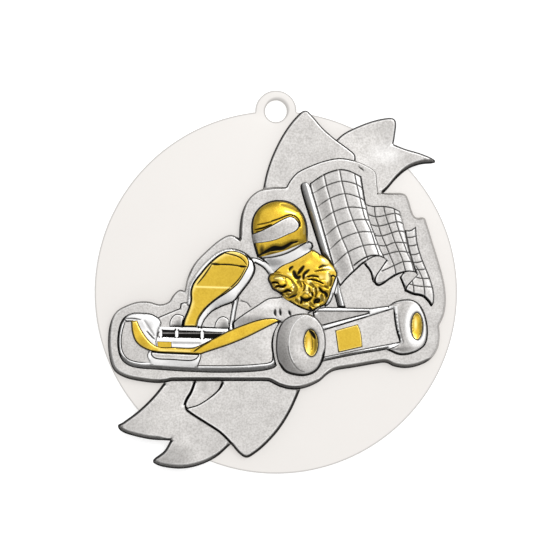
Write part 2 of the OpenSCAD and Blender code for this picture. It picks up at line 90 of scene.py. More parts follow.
def spline(points):
    """Points about LINE_STEP apart on a smooth open curve through the given points."""
    p = np.array(points, float)
    if len(p) == 2:
        count = max(2, int(np.linalg.norm(p[1] - p[0]) / LINE_STEP) + 1)
        t = np.linspace(0, 1, count)[:, None]
        return p[0] * (1 - t) + p[1] * t
    padded = np.vstack([2 * p[0] - p[1], p, 2 * p[-1] - p[-2]])
    out = []
    for i in range(1, len(padded) - 2):
        a, b, c, d = padded[i - 1:i + 3]
        count = max(1, int(np.linalg.norm(c - b) / LINE_STEP))
        t = (np.arange(count) / count)[:, None]
        out.append(0.5 * (2 * b + (c - a) * t + (2 * a - 5 * b + 4 * c - d) * t ** 2
                          + (3 * b - a - 3 * c + d) * t ** 3))
    out.append(p[-1:])
    return np.vstack(out)


# ---- outlines from the CAD

CORNER_COS = math.cos(math.radians(32))
OUTLINE_STEP = 0.22


def chain(edges):
    """Closed loops of indices from directed edges."""
    following = {}
    for a, b in edges:
        following.setdefault(a, []).append(b)
    loops = []
    while following:
        start = next(iter(following))
        loop, here = [], start
        while here in following:
            nexts = following[here]
            loop.append(here)
            onward = nexts.pop()
            if not nexts:
                del following[here]
            here = onward
        loops.append(loop)
    return loops


def border(triangles):
    """The edges that only one triangle has, in its direction."""
    directed = {(t[i], t[(i + 1) % 3]) for t in triangles for i in range(3)}
    return [e for e in directed if (e[1], e[0]) not in directed]


def cad_loops(node):
    """The outlines of a node's top face, in mm, solid on the left of each."""
    mesh = frame["nodes"][node].data
    mesh.calc_loop_triangles()
    co = np.array([v.co for v in mesh.vertices]) / MM
    top = co[:, 2].max() - 1e-3
    keys, xy = {}, []
    index = []
    for c in co:
        key = (round(c[0], 3), round(c[1], 3))
        if key not in keys:
            keys[key] = len(xy)
            xy.append(c[:2])
        index.append(keys[key])
    triangles = []
    for t in mesh.loop_triangles:
        if all(co[v, 2] > top for v in t.vertices):
            tri = [index[v] for v in t.vertices]
            if len(set(tri)) == 3:
                triangles.append(tri)
    return [np.array(xy)[loop] for loop in chain(border(triangles)) if len(loop) > 2]


def rounded(loop):
    """The loop with a point every OUTLINE_STEP or so, on curves where it does not turn sharply."""
    n = len(loop)
    before, after = np.roll(loop, 1, 0), np.roll(loop, -1, 0)
    turn = (unit(loop - before) * unit(after - loop)).sum(1)
    corner = turn < CORNER_COS
    tangent = unit(after - before)
    out = []
    for i in range(n):
        j = (i + 1) % n
        p, q = loop[i], loop[j]
        span = np.linalg.norm(q - p)
        count = max(1, int(round(span / OUTLINE_STEP)))
        s = (q - p) if corner[i] else tangent[i] * span
        e = (q - p) if corner[j] else tangent[j] * span
        t = (np.arange(count) / count)[:, None]
        out.append((2 * t ** 3 - 3 * t ** 2 + 1) * p + (t ** 3 - 2 * t ** 2 + t) * s
                   + (3 * t ** 2 - 2 * t ** 3) * q + (t ** 3 - t ** 2) * e)
    return np.vstack(out)


class Outline:
    """An element's outline as segments, each with the wall that stands on it."""

    def __init__(self, node):
        low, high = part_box(node)
        self.low, self.high = low.z / MM, high.z / MM
        self.height = self.high - self.low
        self.loops = [rounded(loop) for loop in cad_loops(node)]
        self.a = np.vstack(self.loops)
        self.b = np.vstack([np.roll(loop, -1, 0) for loop in self.loops])
        along = unit(self.b - self.a)
        self.outward = np.stack([along[:, 1], -along[:, 0]], 1)
        self.middle = (self.a + self.b) / 2

    def holds(self, p):
        """Which points lie inside, by the even-odd rule."""
        inside = np.zeros(len(p), bool)
        for a, b in zip(self.a, self.b):
            crosses = (a[1] > p[:, 1]) != (b[1] > p[:, 1])
            if not crosses.any():
                continue
            x = (b[0] - a[0]) * (p[:, 1] - a[1]) / ((b[1] - a[1]) or 1e-12) + a[0]
            inside ^= crosses & (p[:, 0] < x)
        return inside


POINTS_AT_ONCE = 600


def nearest(p, a, b, weight=None):
    """For each point the nearest segment, the distance and the share along it.
    With weights, distances are divided by each segment's weight."""
    index = np.empty(len(p), int)
    dist = np.empty(len(p))
    share = np.empty(len(p))
    ab = b - a
    length2 = np.maximum((ab ** 2).sum(1), 1e-12)
    for k in range(0, len(p), POINTS_AT_ONCE):
        part = slice(k, k + POINTS_AT_ONCE)
        q = p[part, None, :]
        t = np.clip(((q - a) * ab).sum(2) / length2, 0, 1)
        d = np.linalg.norm(q - a - t[..., None] * ab, axis=2)
        scaled = d if weight is None else d / weight
        i = scaled.argmin(1)
        rows = np.arange(len(i))
        index[part], dist[part], share[part] = i, scaled[rows, i], t[rows, i]
    return index, dist, share


# ---- walls

LIGHT = np.array([0.50, 0.866])  # towards the lamp, in the plane
WALLS = (0.17, 0.50)  # widths of the walls on the lit and the shaded side
ROLL = 0.16  # width of the rounding at the head of a wall
SHOULDER = 0.72  # share of the height where the rounding starts
BUTT_GAP = 0.06  # elements closer than this touch
OVERLAP = 0.01  # if their heights overlap by more than this
SAME_HEIGHT = 0.05  # tops that differ by less than this meet in a groove
GROOVE_START = 0.5  # which is this share of the height deep
WORN_WIDTH = 0.22
EDGE_SHINE = 0.6


def blended(outline, values, reach=3):
    """Values along the outline, each the mean of the free segments up to reach away."""
    out, first = values.copy(), 0
    for loop in outline.loops:
        part = slice(first, first + len(loop))
        free = outline.free[part].astype(float)
        steps = range(-reach, reach + 1)
        total = sum(np.roll(values[part] * free, k) for k in steps)
        count = sum(np.roll(free, k) for k in steps)
        out[part] = np.where(free > 0, total / np.maximum(count, 1), values[part])
        first += len(loop)
    return out


def stand_walls(outline, others, style):
    """Says for every segment where its wall starts, how wide it is and how dark, and walls facing away
    from the lamp may be darker: painted shade.
    """
    height = outline.height
    start = np.zeros(len(outline.a))
    for other in others:
        if other.low > outline.high - OVERLAP or other.high < outline.low + OVERLAP:
            continue
        near = nearest(outline.middle, other.a, other.b)[1] < BUTT_GAP
        reach = other.high - outline.low
        if abs(reach - height) < SAME_HEIGHT:
            reach = GROOVE_START * height
        start[near] = np.maximum(start[near], min(reach, height))
    # The darker patina given to walls facing away from the lamp is painted shade.
    shaded = smoothstep(-0.25, 0.95, -(outline.outward @ LIGHT))
    lit_w, shaded_w = style.get("walls", WALLS)
    lit_dark, shaded_dark = style.get("dark", (1.0, 1.0))
    outline.start = start
    outline.free = start < height - 1e-3
    outline.wall = lit_w + (shaded_w - lit_w) * shaded
    outline.dark = lit_dark + (shaded_dark - lit_dark) * shaded
    outline.gleam = np.full(len(outline.a), style.get("edge_shine", EDGE_SHINE))
    for chosen, width, dark, *gleam in style.get("edges", []):
        here = chosen(outline)
        outline.wall[here] = width
        outline.dark[here] = dark
        if gleam:
            outline.gleam[here] = gleam[0]
    outline.wall = blended(outline, outline.wall)
    outline.dark = blended(outline, outline.dark) * outline.free
    outline.full = np.where(outline.free, outline.wall + style.get("roll", ROLL), 1e-3)


# ---- engraved lines

LINE_REACH = 2.2  # a line marks nothing further off than this many widths
GUIDE_ROWS = (0.55, 1.1, 1.9)  # where mesh points lie beside a line, in widths
TAPER_END = 0.25  # a tapered line's width at its ends, as a share


class Line:
    """A groove or, with negative depth, a ridge along a curve."""

    def __init__(self, points, width, depth, dark, taper=False):
        p = spline(points)
        self.a, self.b = p[:-1], p[1:]
        self.width, self.depth, self.dark, self.taper = width, depth, dark, taper
        length = np.linalg.norm(self.b - self.a, axis=1)
        self.run = np.concatenate([[0], np.cumsum(length)])
        self.run /= self.run[-1]

    def at(self, p):
        """How strongly the line marks each point, from 0 to 1."""
        box_low = np.minimum(self.a, self.b).min(0) - LINE_REACH * self.width
        box_high = np.maximum(self.a, self.b).max(0) + LINE_REACH * self.width
        near = ((p > box_low) & (p < box_high)).all(1)
        out = np.zeros(len(p))
        if near.any():
            i, d, t = nearest(p[near], self.a, self.b)
            width = self.width
            if self.taper:
                run = self.run[i] + (self.run[i + 1] - self.run[i]) * t
                hump = np.sin(np.pi * np.clip(run, 0, 1)) ** 0.6
                width = width * (TAPER_END + (1 - TAPER_END) * hump)
            out[near] = np.exp(-(d / width) ** 2 * 1.6)
        return out

    def guides(self):
        """Points beside the line, so that the mesh follows it."""
        along = unit(self.b - self.a)
        side = np.stack([-along[:, 1], along[:, 0]], 1)
        middle = (self.a + self.b) / 2
        rows = [middle]
        for k in GUIDE_ROWS:
            rows += [middle + side * self.width * k, middle - side * self.width * k]
        return np.vstack(rows)


# ---- relief meshes

WIDE_WALL = 0.3  # walls wider than this get rings of points too
WALL_SHARES = (0.3, 0.65)  # where, as shares of the wall's width
ROLL_SHARES = (0.0, 0.4, 1.0)  # and over every roll
RING_SLACK = 0.93  # a ring's point that is nearer another wall is dropped
RIM_CLEARANCE = 0.035  # rings and guides keep this far from the outline
FILL_CLEARANCE = 0.2  # and the points that fill the face this far
GUIDE_GAP = 0.03  # guides closer than this are thinned out
FILL_STEP = 0.4  # spacing of the points that fill a face
FILL_CELL = 0.45  # share of that spacing which guides keep free
LEAST_FACE = 0.05  # the lowest that a carved face may be
LEAST_RISE = 0.02  # and the least above a neighbour's top
INLAY_SINK = 0.5  # an inlay's base lies this far below the face it is on
CAST_CREASE, DISC_CREASE = 62, 50  # degrees between faces that show as a sharp edge


def hexagonal(low, high, step):
    """Points of a grid of even triangles over a box."""
    rise = step * math.sqrt(3) / 2
    rows = np.arange(low[1], high[1] + rise, rise)
    columns = np.arange(low[0], high[0] + step, step)
    x, y = np.meshgrid(columns, rows)
    x[1::2] += step / 2
    return np.stack([x.ravel(), y.ravel()], 1)


def cells(points, size):
    """The cell of a square grid that holds each point."""
    return map(tuple, np.floor(points / size).astype(int))


def thin_out(points, gap):
    """Drops points closer than gap to an earlier one, on a grid of that size."""
    seen, keep = set(), []
    for i, cell in enumerate(cells(points, gap)):
        if cell not in seen:
            seen.add(cell)
            keep.append(i)
    return points[keep]


def ring_points(outline):
    """Rings of points inside the outline, at the wall's head and over the roll."""
    rings = []
    inward = -outline.outward
    free = outline.free
    wide = free & (outline.wall > WIDE_WALL)
    rows = [(outline.wall * s, wide) for s in WALL_SHARES]
    rows += [(outline.wall + (outline.full - outline.wall) * s, free)
             for s in ROLL_SHARES]
    rows += [(outline.full + WORN_WIDTH / 2, free), (outline.full + WORN_WIDTH, free)]
    for offset, chosen in rows:
        p = (outline.middle + inward * offset[:, None])[chosen]
        if len(p):
            d = nearest(p, outline.a, outline.b)[1]
            rings.append(p[d > offset[chosen] * RING_SLACK])
    return rings


def triangulate(points, edges):
    """The points and triangles of a triangulation that holds all the edges."""
    out = delaunay_2d_cdt([Vector(p) for p in points], edges, [], 0, 1e-6, False)
    return np.array([v[:] for v in out[0]]), [list(f) for f in out[2]]


def anticlockwise(xy, triangles):
    t = np.array(triangles)
    u, v = xy[t[:, 1]] - xy[t[:, 0]], xy[t[:, 2]] - xy[t[:, 0]]
    flip = (u[:, 0] * v[:, 1] - u[:, 1] * v[:, 0]) < 0
    t[flip] = t[flip][:, ::-1]
    return t


def loop_edges(loops):
    """Edges round closed loops whose points are numbered one loop after another."""
    edges, first = [], 0
    for n in map(len, loops):
        edges += [(first + i, first + (i + 1) % n) for i in range(n)]
        first += n
    return edges


class Loops(Outline):
    """Plain closed loops, for telling inside from outside."""

    def __init__(self, xy, edges):
        e = np.array(edges)
        self.a, self.b = xy[e[:, 0]], xy[e[:, 1]]


def cap(xy, edges):
    """Anticlockwise triangles that fill closed loops."""
    flat, triangles = triangulate(xy, edges)
    triangles = anticlockwise(flat, triangles)
    return triangles[Loops(xy, edges).holds(flat[triangles].mean(1))]


def new_piece(name, points, faces, crease, **values):
    """An object from points in mm, with a crease angle in degrees and values for its points."""
    mesh = bpy.data.meshes.new(name)
    mesh.from_pydata((np.array(points) * MM).tolist(), [], faces)
    mesh.validate()
    for label, numbers in values.items():
        layer = mesh.attributes.new(label, "FLOAT", "POINT")
        layer.data.foreach_set("value", np.array(numbers, np.float32))
    mesh.shade_smooth()
    mesh.set_sharp_from_angle(angle=math.radians(crease))
    piece = bpy.data.objects.new(name, mesh)
    bpy.context.scene.collection.objects.link(piece)
    return piece


SOLVER_STEPS = 400


def swell(xy, triangles, pinned):
    """The height of a skin blown up from its pinned edge, from 0 to 1.
    It is solved for by conjugate gradients on the triangles' cotangent weights."""
    p = xy[triangles]
    rows, columns, values = [], [], []
    area = np.zeros(len(xy))
    double = np.abs((p[:, 1, 0] - p[:, 0, 0]) * (p[:, 2, 1] - p[:, 0, 1])
                    - (p[:, 1, 1] - p[:, 0, 1]) * (p[:, 2, 0] - p[:, 0, 0]))
    double = np.maximum(double, 1e-9)
    for k in range(3):
        i, j, o = triangles[:, k], triangles[:, (k + 1) % 3], triangles[:, (k + 2) % 3]
        cot = ((xy[i] - xy[o]) * (xy[j] - xy[o])).sum(1) / double
        cot = np.clip(cot, 0.01, 20)
        rows += [i, j]
        columns += [j, i]
        values += [cot / 2, cot / 2]
        np.add.at(area, i, double / 6)
    rows, columns = np.concatenate(rows), np.concatenate(columns)
    values = np.concatenate(values)
    degree = np.bincount(rows, values, len(xy))
    free = ~pinned

    def apply(u):
        return (degree * u - np.bincount(rows, values * u[columns], len(xy))) * free

    u = np.zeros(len(xy))
    r = area * free
    z = r / np.maximum(degree, 1e-12)
    d = z.copy()
    rz = r @ z
    for _ in range(SOLVER_STEPS):
        ad = apply(d)
        step = rz / max(d @ ad, 1e-20)
        u += step * d
        r = r - step * ad
        z = r / np.maximum(degree, 1e-12)
        new = r @ z
        if new < 1e-10 * max(rz, 1e-12) or new < 1e-14:
            break
        d = z + d * (new / rz)
        rz = new
    return np.clip(u / max(u.max(), 1e-9), 0, 1)


class Field:
    """What a piece's shape function may read about its points."""

    def __init__(self, outline, xy, swollen):
        self.outline, self.xy, self.swollen = outline, xy, swollen
        self.height = outline.height
        self.x, self.y = xy[:, 0], xy[:, 1]


def relief(node, name, style):
    """The carved mesh of one element."""
    outline = OUTLINES[node]
    height = outline.height
    marks = style.get("lines", [])
    step = style.get("step", FILL_STEP)
    fill = hexagonal(outline.a.min(0), outline.a.max(0), step)
    fill = fill[outline.holds(fill)]
    guides = [line.guides() for line in marks]
    rings = ring_points(outline)
    extra = np.vstack(rings + guides) if rings + guides else np.zeros((0, 2))
    extra = extra[outline.holds(extra)]
    extra = extra[nearest(extra, outline.a, outline.b)[1] > RIM_CLEARANCE]
    extra = thin_out(extra, GUIDE_GAP)
    fill = fill[nearest(fill, outline.a, outline.b)[1] > FILL_CLEARANCE]
    if len(extra) and len(fill):
        taken = set(cells(extra, step * FILL_CELL))
        fill = fill[[cell not in taken for cell in cells(fill, step * FILL_CELL)]]
    points = np.vstack([*outline.loops, extra, fill])
    xy, triangles = triangulate(points, loop_edges(outline.loops))
    triangles = anticlockwise(xy, triangles)
    triangles = triangles[outline.holds(xy[triangles].mean(1))]
    used = np.unique(triangles)
    renumber = -np.ones(len(xy), int)
    renumber[used] = np.arange(len(used))
    xy, triangles = xy[used], renumber[triangles]

    rim_loops = chain(border([tuple(t) for t in triangles]))
    on_rim = np.zeros(len(xy), bool)
    for loop in rim_loops:
        on_rim[loop] = True

    # The wall: a straight draft and then a quarter-round into the face.
    index, scaled, _ = nearest(xy, outline.a, outline.b, outline.full)
    full, wall = outline.full[index], outline.wall[index]
    away = scaled * full
    scaled = np.clip(scaled, 0, 1)
    start = outline.start[index]
    wall_share = wall / full
    free = outline.free[index]
    roll = np.clip((scaled - wall_share) / (1 - wall_share + 1e-9), 0, 1)
    ramp = np.where(scaled < wall_share, scaled / wall_share * SHOULDER,
                    SHOULDER + (1 - SHOULDER) * np.sqrt(1 - (1 - roll) ** 2))
    ramp = np.where(free, ramp, 1.0)
    pinned = on_rim & free
    swollen = np.zeros(len(xy))
    if style.get("swell"):
        swollen = swell(xy, triangles, pinned if pinned.any() else on_rim)
    field = Field(outline, xy, swollen)
    face = np.full(len(xy), height)
    if "face" in style:
        face = np.minimum(style["face"](field), height)
    # Patina, with painted shade on walls that face away from the lamp: all over the wall, paler near the
    # head of a wide one, and gone on the face.
    fade = 0.40 * smoothstep(0.32, 0.6, wall) * smoothstep(0.1, 0.5, scaled / wall_share)
    patina = outline.dark[index] * (1 - fade) * (1 - smoothstep(0.0, 0.6, roll))
    patina = np.where(free, patina, 0)
    # Darker patches over the face: patina and painted shade. Brighter ones: painted highlight.
    if "stain" in style:
        patina = np.maximum(patina, style["stain"](field))
    polish = style["shine"](field) if "shine" in style else 0.0
    # Rolled edges brighten towards the shine colour: partly worn metal, partly painted highlight.
    worn = np.where(free, smoothstep(0.35, 0.8, roll), 0)
    worn = worn * (1 - smoothstep(full, full + WORN_WIDTH, away))
    worn = np.maximum(worn * outline.gleam[index], polish)
    for line in marks:
        mark = line.at(xy)
        face = face - line.depth * mark
        if line.dark > 0:
            patina = np.maximum(patina, line.dark * np.clip(mark * 1.5, 0, 1))
        elif line.dark < 0:
            # Here the line is a painted highlight instead of patina.
            patina = patina * (1 - mark)
            worn = np.maximum(worn, -line.dark * mark)
    face = np.clip(face, LEAST_FACE, height)
    z = outline.low + np.where(free, start + np.maximum(face - start, LEAST_RISE) * ramp, face)
    if "support" in style:
        ground = style["support"](xy)
        z = ground + (z - outline.low) * style.get("proud", 1.0)
        floor_z = ground - INLAY_SINK
    else:
        floor_z = np.full(len(xy), outline.low)
    z = np.minimum(z, outline.high)
    return build_mesh(name, xy, triangles, rim_loops, z, floor_z, patina, worn)


def build_mesh(name, xy, triangles, rim_loops, z, floor_z, patina, worn):
    """A closed mesh: the carved top, walls where the top's rim stands clear, and a base."""
    points = [(x, y, h) for (x, y), h in zip(xy, z)]
    faces = [tuple(t) for t in triangles]
    patina, worn = list(patina), list(worn)
    below = {}
    for loop in rim_loops:
        for v in loop:
            if z[v] - floor_z[v] > 1e-4:
                below[v] = len(points)
                points.append((xy[v][0], xy[v][1], floor_z[v]))
                patina.append(patina[v])
                worn.append(0)
            else:
                below[v] = v
    for loop in rim_loops:
        for v, w in zip(loop, loop[1:] + loop[:1]):
            side = [v, below[v], below[w], w]
            side = [s for k, s in enumerate(side) if s != side[k - 1]]
            if len(set(side)) > 2:
                faces.append(tuple(dict.fromkeys(side)))
    base = [v for loop in rim_loops for v in loop]
    for t in cap(xy[base], loop_edges(rim_loops)):
        if max(t) < len(base):
            faces.append(tuple(below[base[k]] for k in t[::-1]))
    return new_piece(name, points, faces, CAST_CREASE, patina=patina, worn=worn)


def top_of(piece):
    """A function that gives the height of a piece's surface under points, in mm."""
    mesh = piece.data
    tree = BVHTree.FromPolygons([v.co[:] for v in mesh.vertices],
                                [p.vertices[:] for p in mesh.polygons])

    def height(xy):
        out = np.empty(len(xy))
        for i, (x, y) in enumerate(xy):
            hit = tree.ray_cast(Vector((x * MM, y * MM, 1.0)), Vector((0, 0, -1)))[0]
            out[i] = hit.z / MM if hit else np.nan
        lost = np.isnan(out)
        if lost.any():
            out[lost] = np.nanmin(out)
        return out
    return height


# ---- materials

class Tree:
    """A node material under construction."""

    def __init__(self, name):
        self.material = bpy.data.materials.new(name)
        self.material.use_nodes = True
        self.nodes = self.material.node_tree.nodes
        self.links = self.material.node_tree.links
        self.nodes.clear()
        out = self.nodes.new("ShaderNodeOutputMaterial")
        self.shader = self.nodes.new("ShaderNodeBsdfPrincipled")
        self.links.new(self.shader.outputs[0], out.inputs["Surface"])
        self.place = self.nodes.new("ShaderNodeTexCoord").outputs["Object"]

    def set(self, socket, value):
        if isinstance(value, bpy.types.NodeSocket):
            self.links.new(value, socket)
        elif isinstance(value, tuple):
            socket.default_value = (*value, 1.0)[:len(socket.default_value)]
        else:
            socket.default_value = value

    def feed(self, node, **inputs):
        for name, value in inputs.items():
            self.set(node.inputs[name.replace("_", " ")], value)

    def shade(self, **inputs):
        self.feed(self.shader, **inputs)

    def noise(self, size, detail, rough=0.55):
        """Noise whose blobs are about size mm across."""
        node = self.nodes.new("ShaderNodeTexNoise")
        scale = 1 / (size * MM)
        self.feed(node, Vector=self.place, Scale=scale, Detail=detail, Roughness=rough)
        return node.outputs["Fac"]

    def attribute(self, name):
        node = self.nodes.new("ShaderNodeAttribute")
        node.attribute_name = name
        return node.outputs["Fac"]

    def math(self, operation, a, b, clamp=False):
        node = self.nodes.new("ShaderNodeMath")
        node.operation, node.use_clamp = operation, clamp
        self.set(node.inputs[0], a)
        self.set(node.inputs[1], b)
        return node.outputs[0]

    def ramp(self, value, low, high, out_low=0.0, out_high=1.0):
        """The value spread from low..high to out_low..out_high, and held at its ends."""
        node = self.nodes.new("ShaderNodeMapRange")
        for socket, v in zip(node.inputs, (value, low, high, out_low, out_high)):
            self.set(socket, v)
        return node.outputs[0]

    def mix(self, share, a, b):
        node = self.nodes.new("ShaderNodeMix")
        node.data_type = "RGBA"
        for name, value in (("Factor", share), ("A", a), ("B", b)):
            self.set(node.inputs[name], value)
        return node.outputs["Result"]

    def bump(self, height, depth):
        node = self.nodes.new("ShaderNodeBump")
        self.feed(node, Height=height, Distance=depth * MM, Strength=1.0)
        return node.outputs["Normal"]


PATINA = (0.012, 0.011, 0.010)
PATINA_ROUGHNESS = 0.5
CLOUD_SIZE, SPECK_SIZE = 2.5, 0.36


def plated(name, colour, deep, shine, rough, grain, grain_depth, speckle, clouds):
    """Plated metal darkened by patina in its recesses and by painted shade, and lightened on worn edges
    and by painted highlights.
    Specks and clouds of the deep colour lie on it, and grain is its fine bumps' size in mm."""
    t = Tree(name)
    cloud = t.noise(CLOUD_SIZE, 4)
    fine = t.noise(grain, 5, 0.7)
    speck = t.noise(SPECK_SIZE, 3, 0.65)
    share = t.math("MULTIPLY", t.ramp(speck, 0.40, 0.66), speckle)
    share = t.math("ADD", share, t.ramp(cloud, 0.3, 0.7, 0, clouds), clamp=True)
    tone = t.mix(share, colour, deep)
    # Worn edges and painted highlights go towards the shine colour and grow smoother.
    worn = t.attribute("worn")
    tone = t.mix(t.math("MULTIPLY", worn, 0.7), tone, shine)
    # Patina and painted shade both darken the tone towards near black.
    patina = t.attribute("patina")
    ragged = t.math("MULTIPLY", patina, t.ramp(fine, 0.3, 0.7, 0.85, 1.15))
    dark = t.ramp(ragged, 0.04, 0.8)
    t.shade(Base_Color=t.mix(dark, tone, PATINA), Metallic=1.0)
    roughness = t.ramp(cloud, 0.3, 0.7, rough - 0.04, rough + 0.04)
    roughness = t.math("SUBTRACT", roughness, t.math("MULTIPLY", worn, rough * 0.4))
    roughness = t.math("ADD", roughness, t.math("MULTIPLY", dark, PATINA_ROUGHNESS - rough * 0.6))
    t.shade(Roughness=t.math("MAXIMUM", roughness, 0.05))
    t.shade(Normal=t.bump(fine, grain_depth))
    return t.material


def acrylic():
    t = Tree("acrylic")
    cloud = t.noise(9, 3)
    fine = t.noise(0.35, 4)
    tone = t.mix(t.ramp(cloud, 0.3, 0.7), (0.57, 0.55, 0.53), (0.56, 0.54, 0.52))
    # The rounded rim is mixed towards dark grey: painted shade along the disc's edge.
    t.shade(Base_Color=t.mix(t.attribute("rim"), tone, (0.20, 0.195, 0.19)))
    t.shade(Roughness=t.ramp(fine, 0.3, 0.7, 0.38, 0.46), Coat_Weight=0.15)
    t.shade(Coat_Roughness=0.2)
    # A faint glow from within, though the disc is no lamp: painted light that pales the shade beside the
    # emblem.
    t.shade(Emission_Color=(1.0, 0.96, 0.92), Emission_Strength=0.34)
    t.shade(Normal=t.bump(fine, 0.004))
    return t.material


def film():
    t = Tree("bonding_film")
    fine = t.noise(0.5, 4)
    t.shade(Base_Color=t.mix(fine, (0.74, 0.73, 0.68), (0.64, 0.63, 0.59)))
    t.shade(Roughness=t.ramp(fine, 0.3, 0.7, 0.6, 0.8), Normal=t.bump(fine, 0.02))
    return t.material


# Each metal's shine is the colour of its worn edges and of its painted highlights.
METALS = {
    "blasted_silver": dict(
        colour=(0.555, 0.54, 0.525), deep=(0.38, 0.365, 0.35), shine=(0.93, 0.93, 0.93),
        rough=0.46, grain=0.2, grain_depth=0.016, speckle=0.8, clouds=0.15),
    "polished_silver": dict(
        colour=(0.64, 0.635, 0.63), deep=(0.54, 0.535, 0.53), shine=(0.96, 0.96, 0.96),
        rough=0.30, grain=0.4, grain_depth=0.004, speckle=0.2, clouds=0.25),
    "polished_gold": dict(
        colour=(0.60, 0.41, 0.045), deep=(0.36, 0.21, 0.015), shine=(1.0, 0.85, 0.38),
        rough=0.24, grain=0.4, grain_depth=0.006, speckle=0.3, clouds=0.5),
    "satin_gold": dict(
        colour=(0.52, 0.355, 0.042), deep=(0.42, 0.27, 0.026), shine=(0.90, 0.76, 0.30),
        rough=0.38, grain=0.2, grain_depth=0.010, speckle=0.6, clouds=0.2),
}
MATERIALS = {name: plated(name, **look) for name, look in METALS.items()}
MATERIALS["acrylic"] = acrylic()
MATERIALS["bonding_film"] = film()


# ---- the elements

def lines(*paths, **how):
    """Lines of one kind, each given as its points."""
    return [Line(path, **how) for path in paths]


def groove(width, depth, dark, *path):
    """One line through the given points. Below 0, dark is how bright the painted highlight along the line
    is.
    """
    return [Line(path, width, depth, dark)]


def strokes(*marks, dark=1.0, depth=0.4):
    """Tapered creases, each given as its width and then its points."""
    return [Line(path, width, depth, dark, taper=True) for width, *path in marks]


def ridges(*marks):
    """Tapered ridges whose backs carry a painted highlight, each given as width, height, how bright that
    highlight is, and its points.
    """
    return [Line(path, width, -height, -shine, taper=True) for width, height, shine, *path in marks]


def domed(edge):
    """A face that rises from edge mm at its rim to its full height in the middle."""
    return lambda f: edge + (f.height - edge) * f.swollen ** 0.5


def wavy(level, *waves):
    """A flat face with long gentle waves: (height, direction in degrees, length, phase)."""
    def face(f):
        z = np.full(len(f.xy), level)
        for height, degrees, length, phase in waves:
            a = math.radians(degrees)
            z += height * np.sin(2 * np.pi * (f.x * math.cos(a) + f.y * math.sin(a)) / length
                                 + phase)
        return z
    return face


# Flag

def across(outline, p, direction):
    """How far points lie from the edges that face away from direction to those that face it."""
    facing = outline.outward @ np.array(direction)
    near, far = facing < -0.8, facing > 0.8
    a = nearest(p, outline.a[near], outline.b[near])[1]
    b = nearest(p, outline.a[far], outline.b[far])[1]
    return a / np.maximum(a + b, 1e-6)


def through(section, u):
    """A smooth curve through (share, value) pairs, at each share u."""
    at, values = (np.array(v) for v in zip(*section))
    k = np.clip(np.searchsorted(at, u) - 1, 0, len(at) - 2)
    t = smoothstep(0, 1, (u - at[k]) / (at[k + 1] - at[k]))
    return values[k] + (values[k + 1] - values[k]) * t


def cloth(*section, direction=(1, 0.3)):
    """Values that follow (share, value) pairs from one side of the piece to the other."""
    return lambda f: through(section, across(f.outline, f.xy, direction))


GRID = dict(width=0.1, depth=0.1, dark=0.6)

FRONT_GRID = lines(
    [(9.2, 23), (9.9, 20), (10.4, 18.2), (11.1, 15.5), (11.9, 12.8), (12.8, 10.3), (13.9, 7.7),
     (15, 4.2)],
    [(12.2, 24), (12.7, 21.4), (13.3, 19), (14, 16.3), (14.9, 13.8), (15.9, 11.5), (16.8, 9), (17.8, 6)],
    [(15.1, 23.2), (15.6, 20.7), (16.2, 18.2), (16.7, 16), (17.2, 14.2), (18.3, 11.8), (19.1, 9.3),
     (20, 6.8)],
    [(7, 19), (9.8, 20.6), (12.7, 21.4), (15.5, 20.8), (17, 19.7)],
    [(7.7, 16.3), (10.4, 18.1), (13.3, 19), (16.2, 18.2), (17.3, 17.4)],
    [(8.6, 13.7), (11.1, 15.5), (14, 16.4), (16.7, 16.2), (17.7, 15.8)],
    [(9.5, 10.9), (12, 12.9), (14.9, 13.9), (17.3, 14), (18.3, 13.7)],
    [(10.3, 8.2), (12.8, 10.4), (16, 11.6), (18.4, 11.6), (19.2, 11.3)],
    [(11.1, 5.3), (13.8, 7.7), (16.8, 9), (19.3, 9.2), (20.2, 8.9)], **GRID)

# A painted highlight on the left of each upright line, and the doubled lines of the hems
FRONT_EDGES = lines(
    [(8.85, 23), (9.6, 20), (10.1, 18.2), (10.8, 15.5), (11.6, 12.8), (12.5, 10.3), (13.6, 7.7),
     (14.7, 4.2)],
    [(11.9, 24), (12.4, 21.4), (13, 19), (13.7, 16.3), (14.6, 13.8), (15.6, 11.5), (16.5, 9), (17.5, 6)],
    width=0.16, depth=0, dark=-0.55)
FRONT_HEM = groove(
    0.14, 0.08, 0.9, (15, 5.2), (16, 6), (17.3, 6.75), (18.5, 7.1), (19.6, 7.1), (20.6, 6.6))
MIDDLE_HEM = groove(0.14, 0.08, 0.8, (22.8, 3.35), (24, 3.8), (25.2, 4.1), (26.9, 3.85)) + groove(
    0.1, 0.05, 0.6, (19.4, 1.75), (20.5, 2), (22, 2.75), (23.2, 3.3))

MIDDLE_GRID = lines(
    [(18.9, 16.8), (19.2, 14.5), (19.7, 13), (20.3, 11), (21.2, 9), (22, 7), (22.8, 5), (23.2, 3)],
    [(20.7, 16.9), (21.1, 14.9), (22.2, 11.7), (23, 9.5), (23.8, 7.7), (24.4, 6.2), (25.1, 3.6)],
    [(22.7, 16.6), (23.2, 13.6), (24, 11), (24.8, 9), (25.3, 7.6), (26.1, 6), (26.7, 3.8)],
    [(17.4, 15.2), (18.6, 14.7), (19.9, 14.6), (22.8, 15.2), (24.3, 14.7)],
    [(17.9, 13.1), (20, 12.8), (23.3, 13.6), (24.7, 13.1)],
    [(18.9, 11), (20.5, 10.9), (23.5, 11.8), (25.2, 11.5)],
    [(19.8, 9), (21.2, 9), (22.9, 9.6), (25.6, 9.5)], [(20.7, 7.2), (23.7, 7.9), (26, 7.6)],
    [(20.4, 4.1), (22.8, 5.2), (24.5, 5.9), (26.5, 5.9)], **GRID)

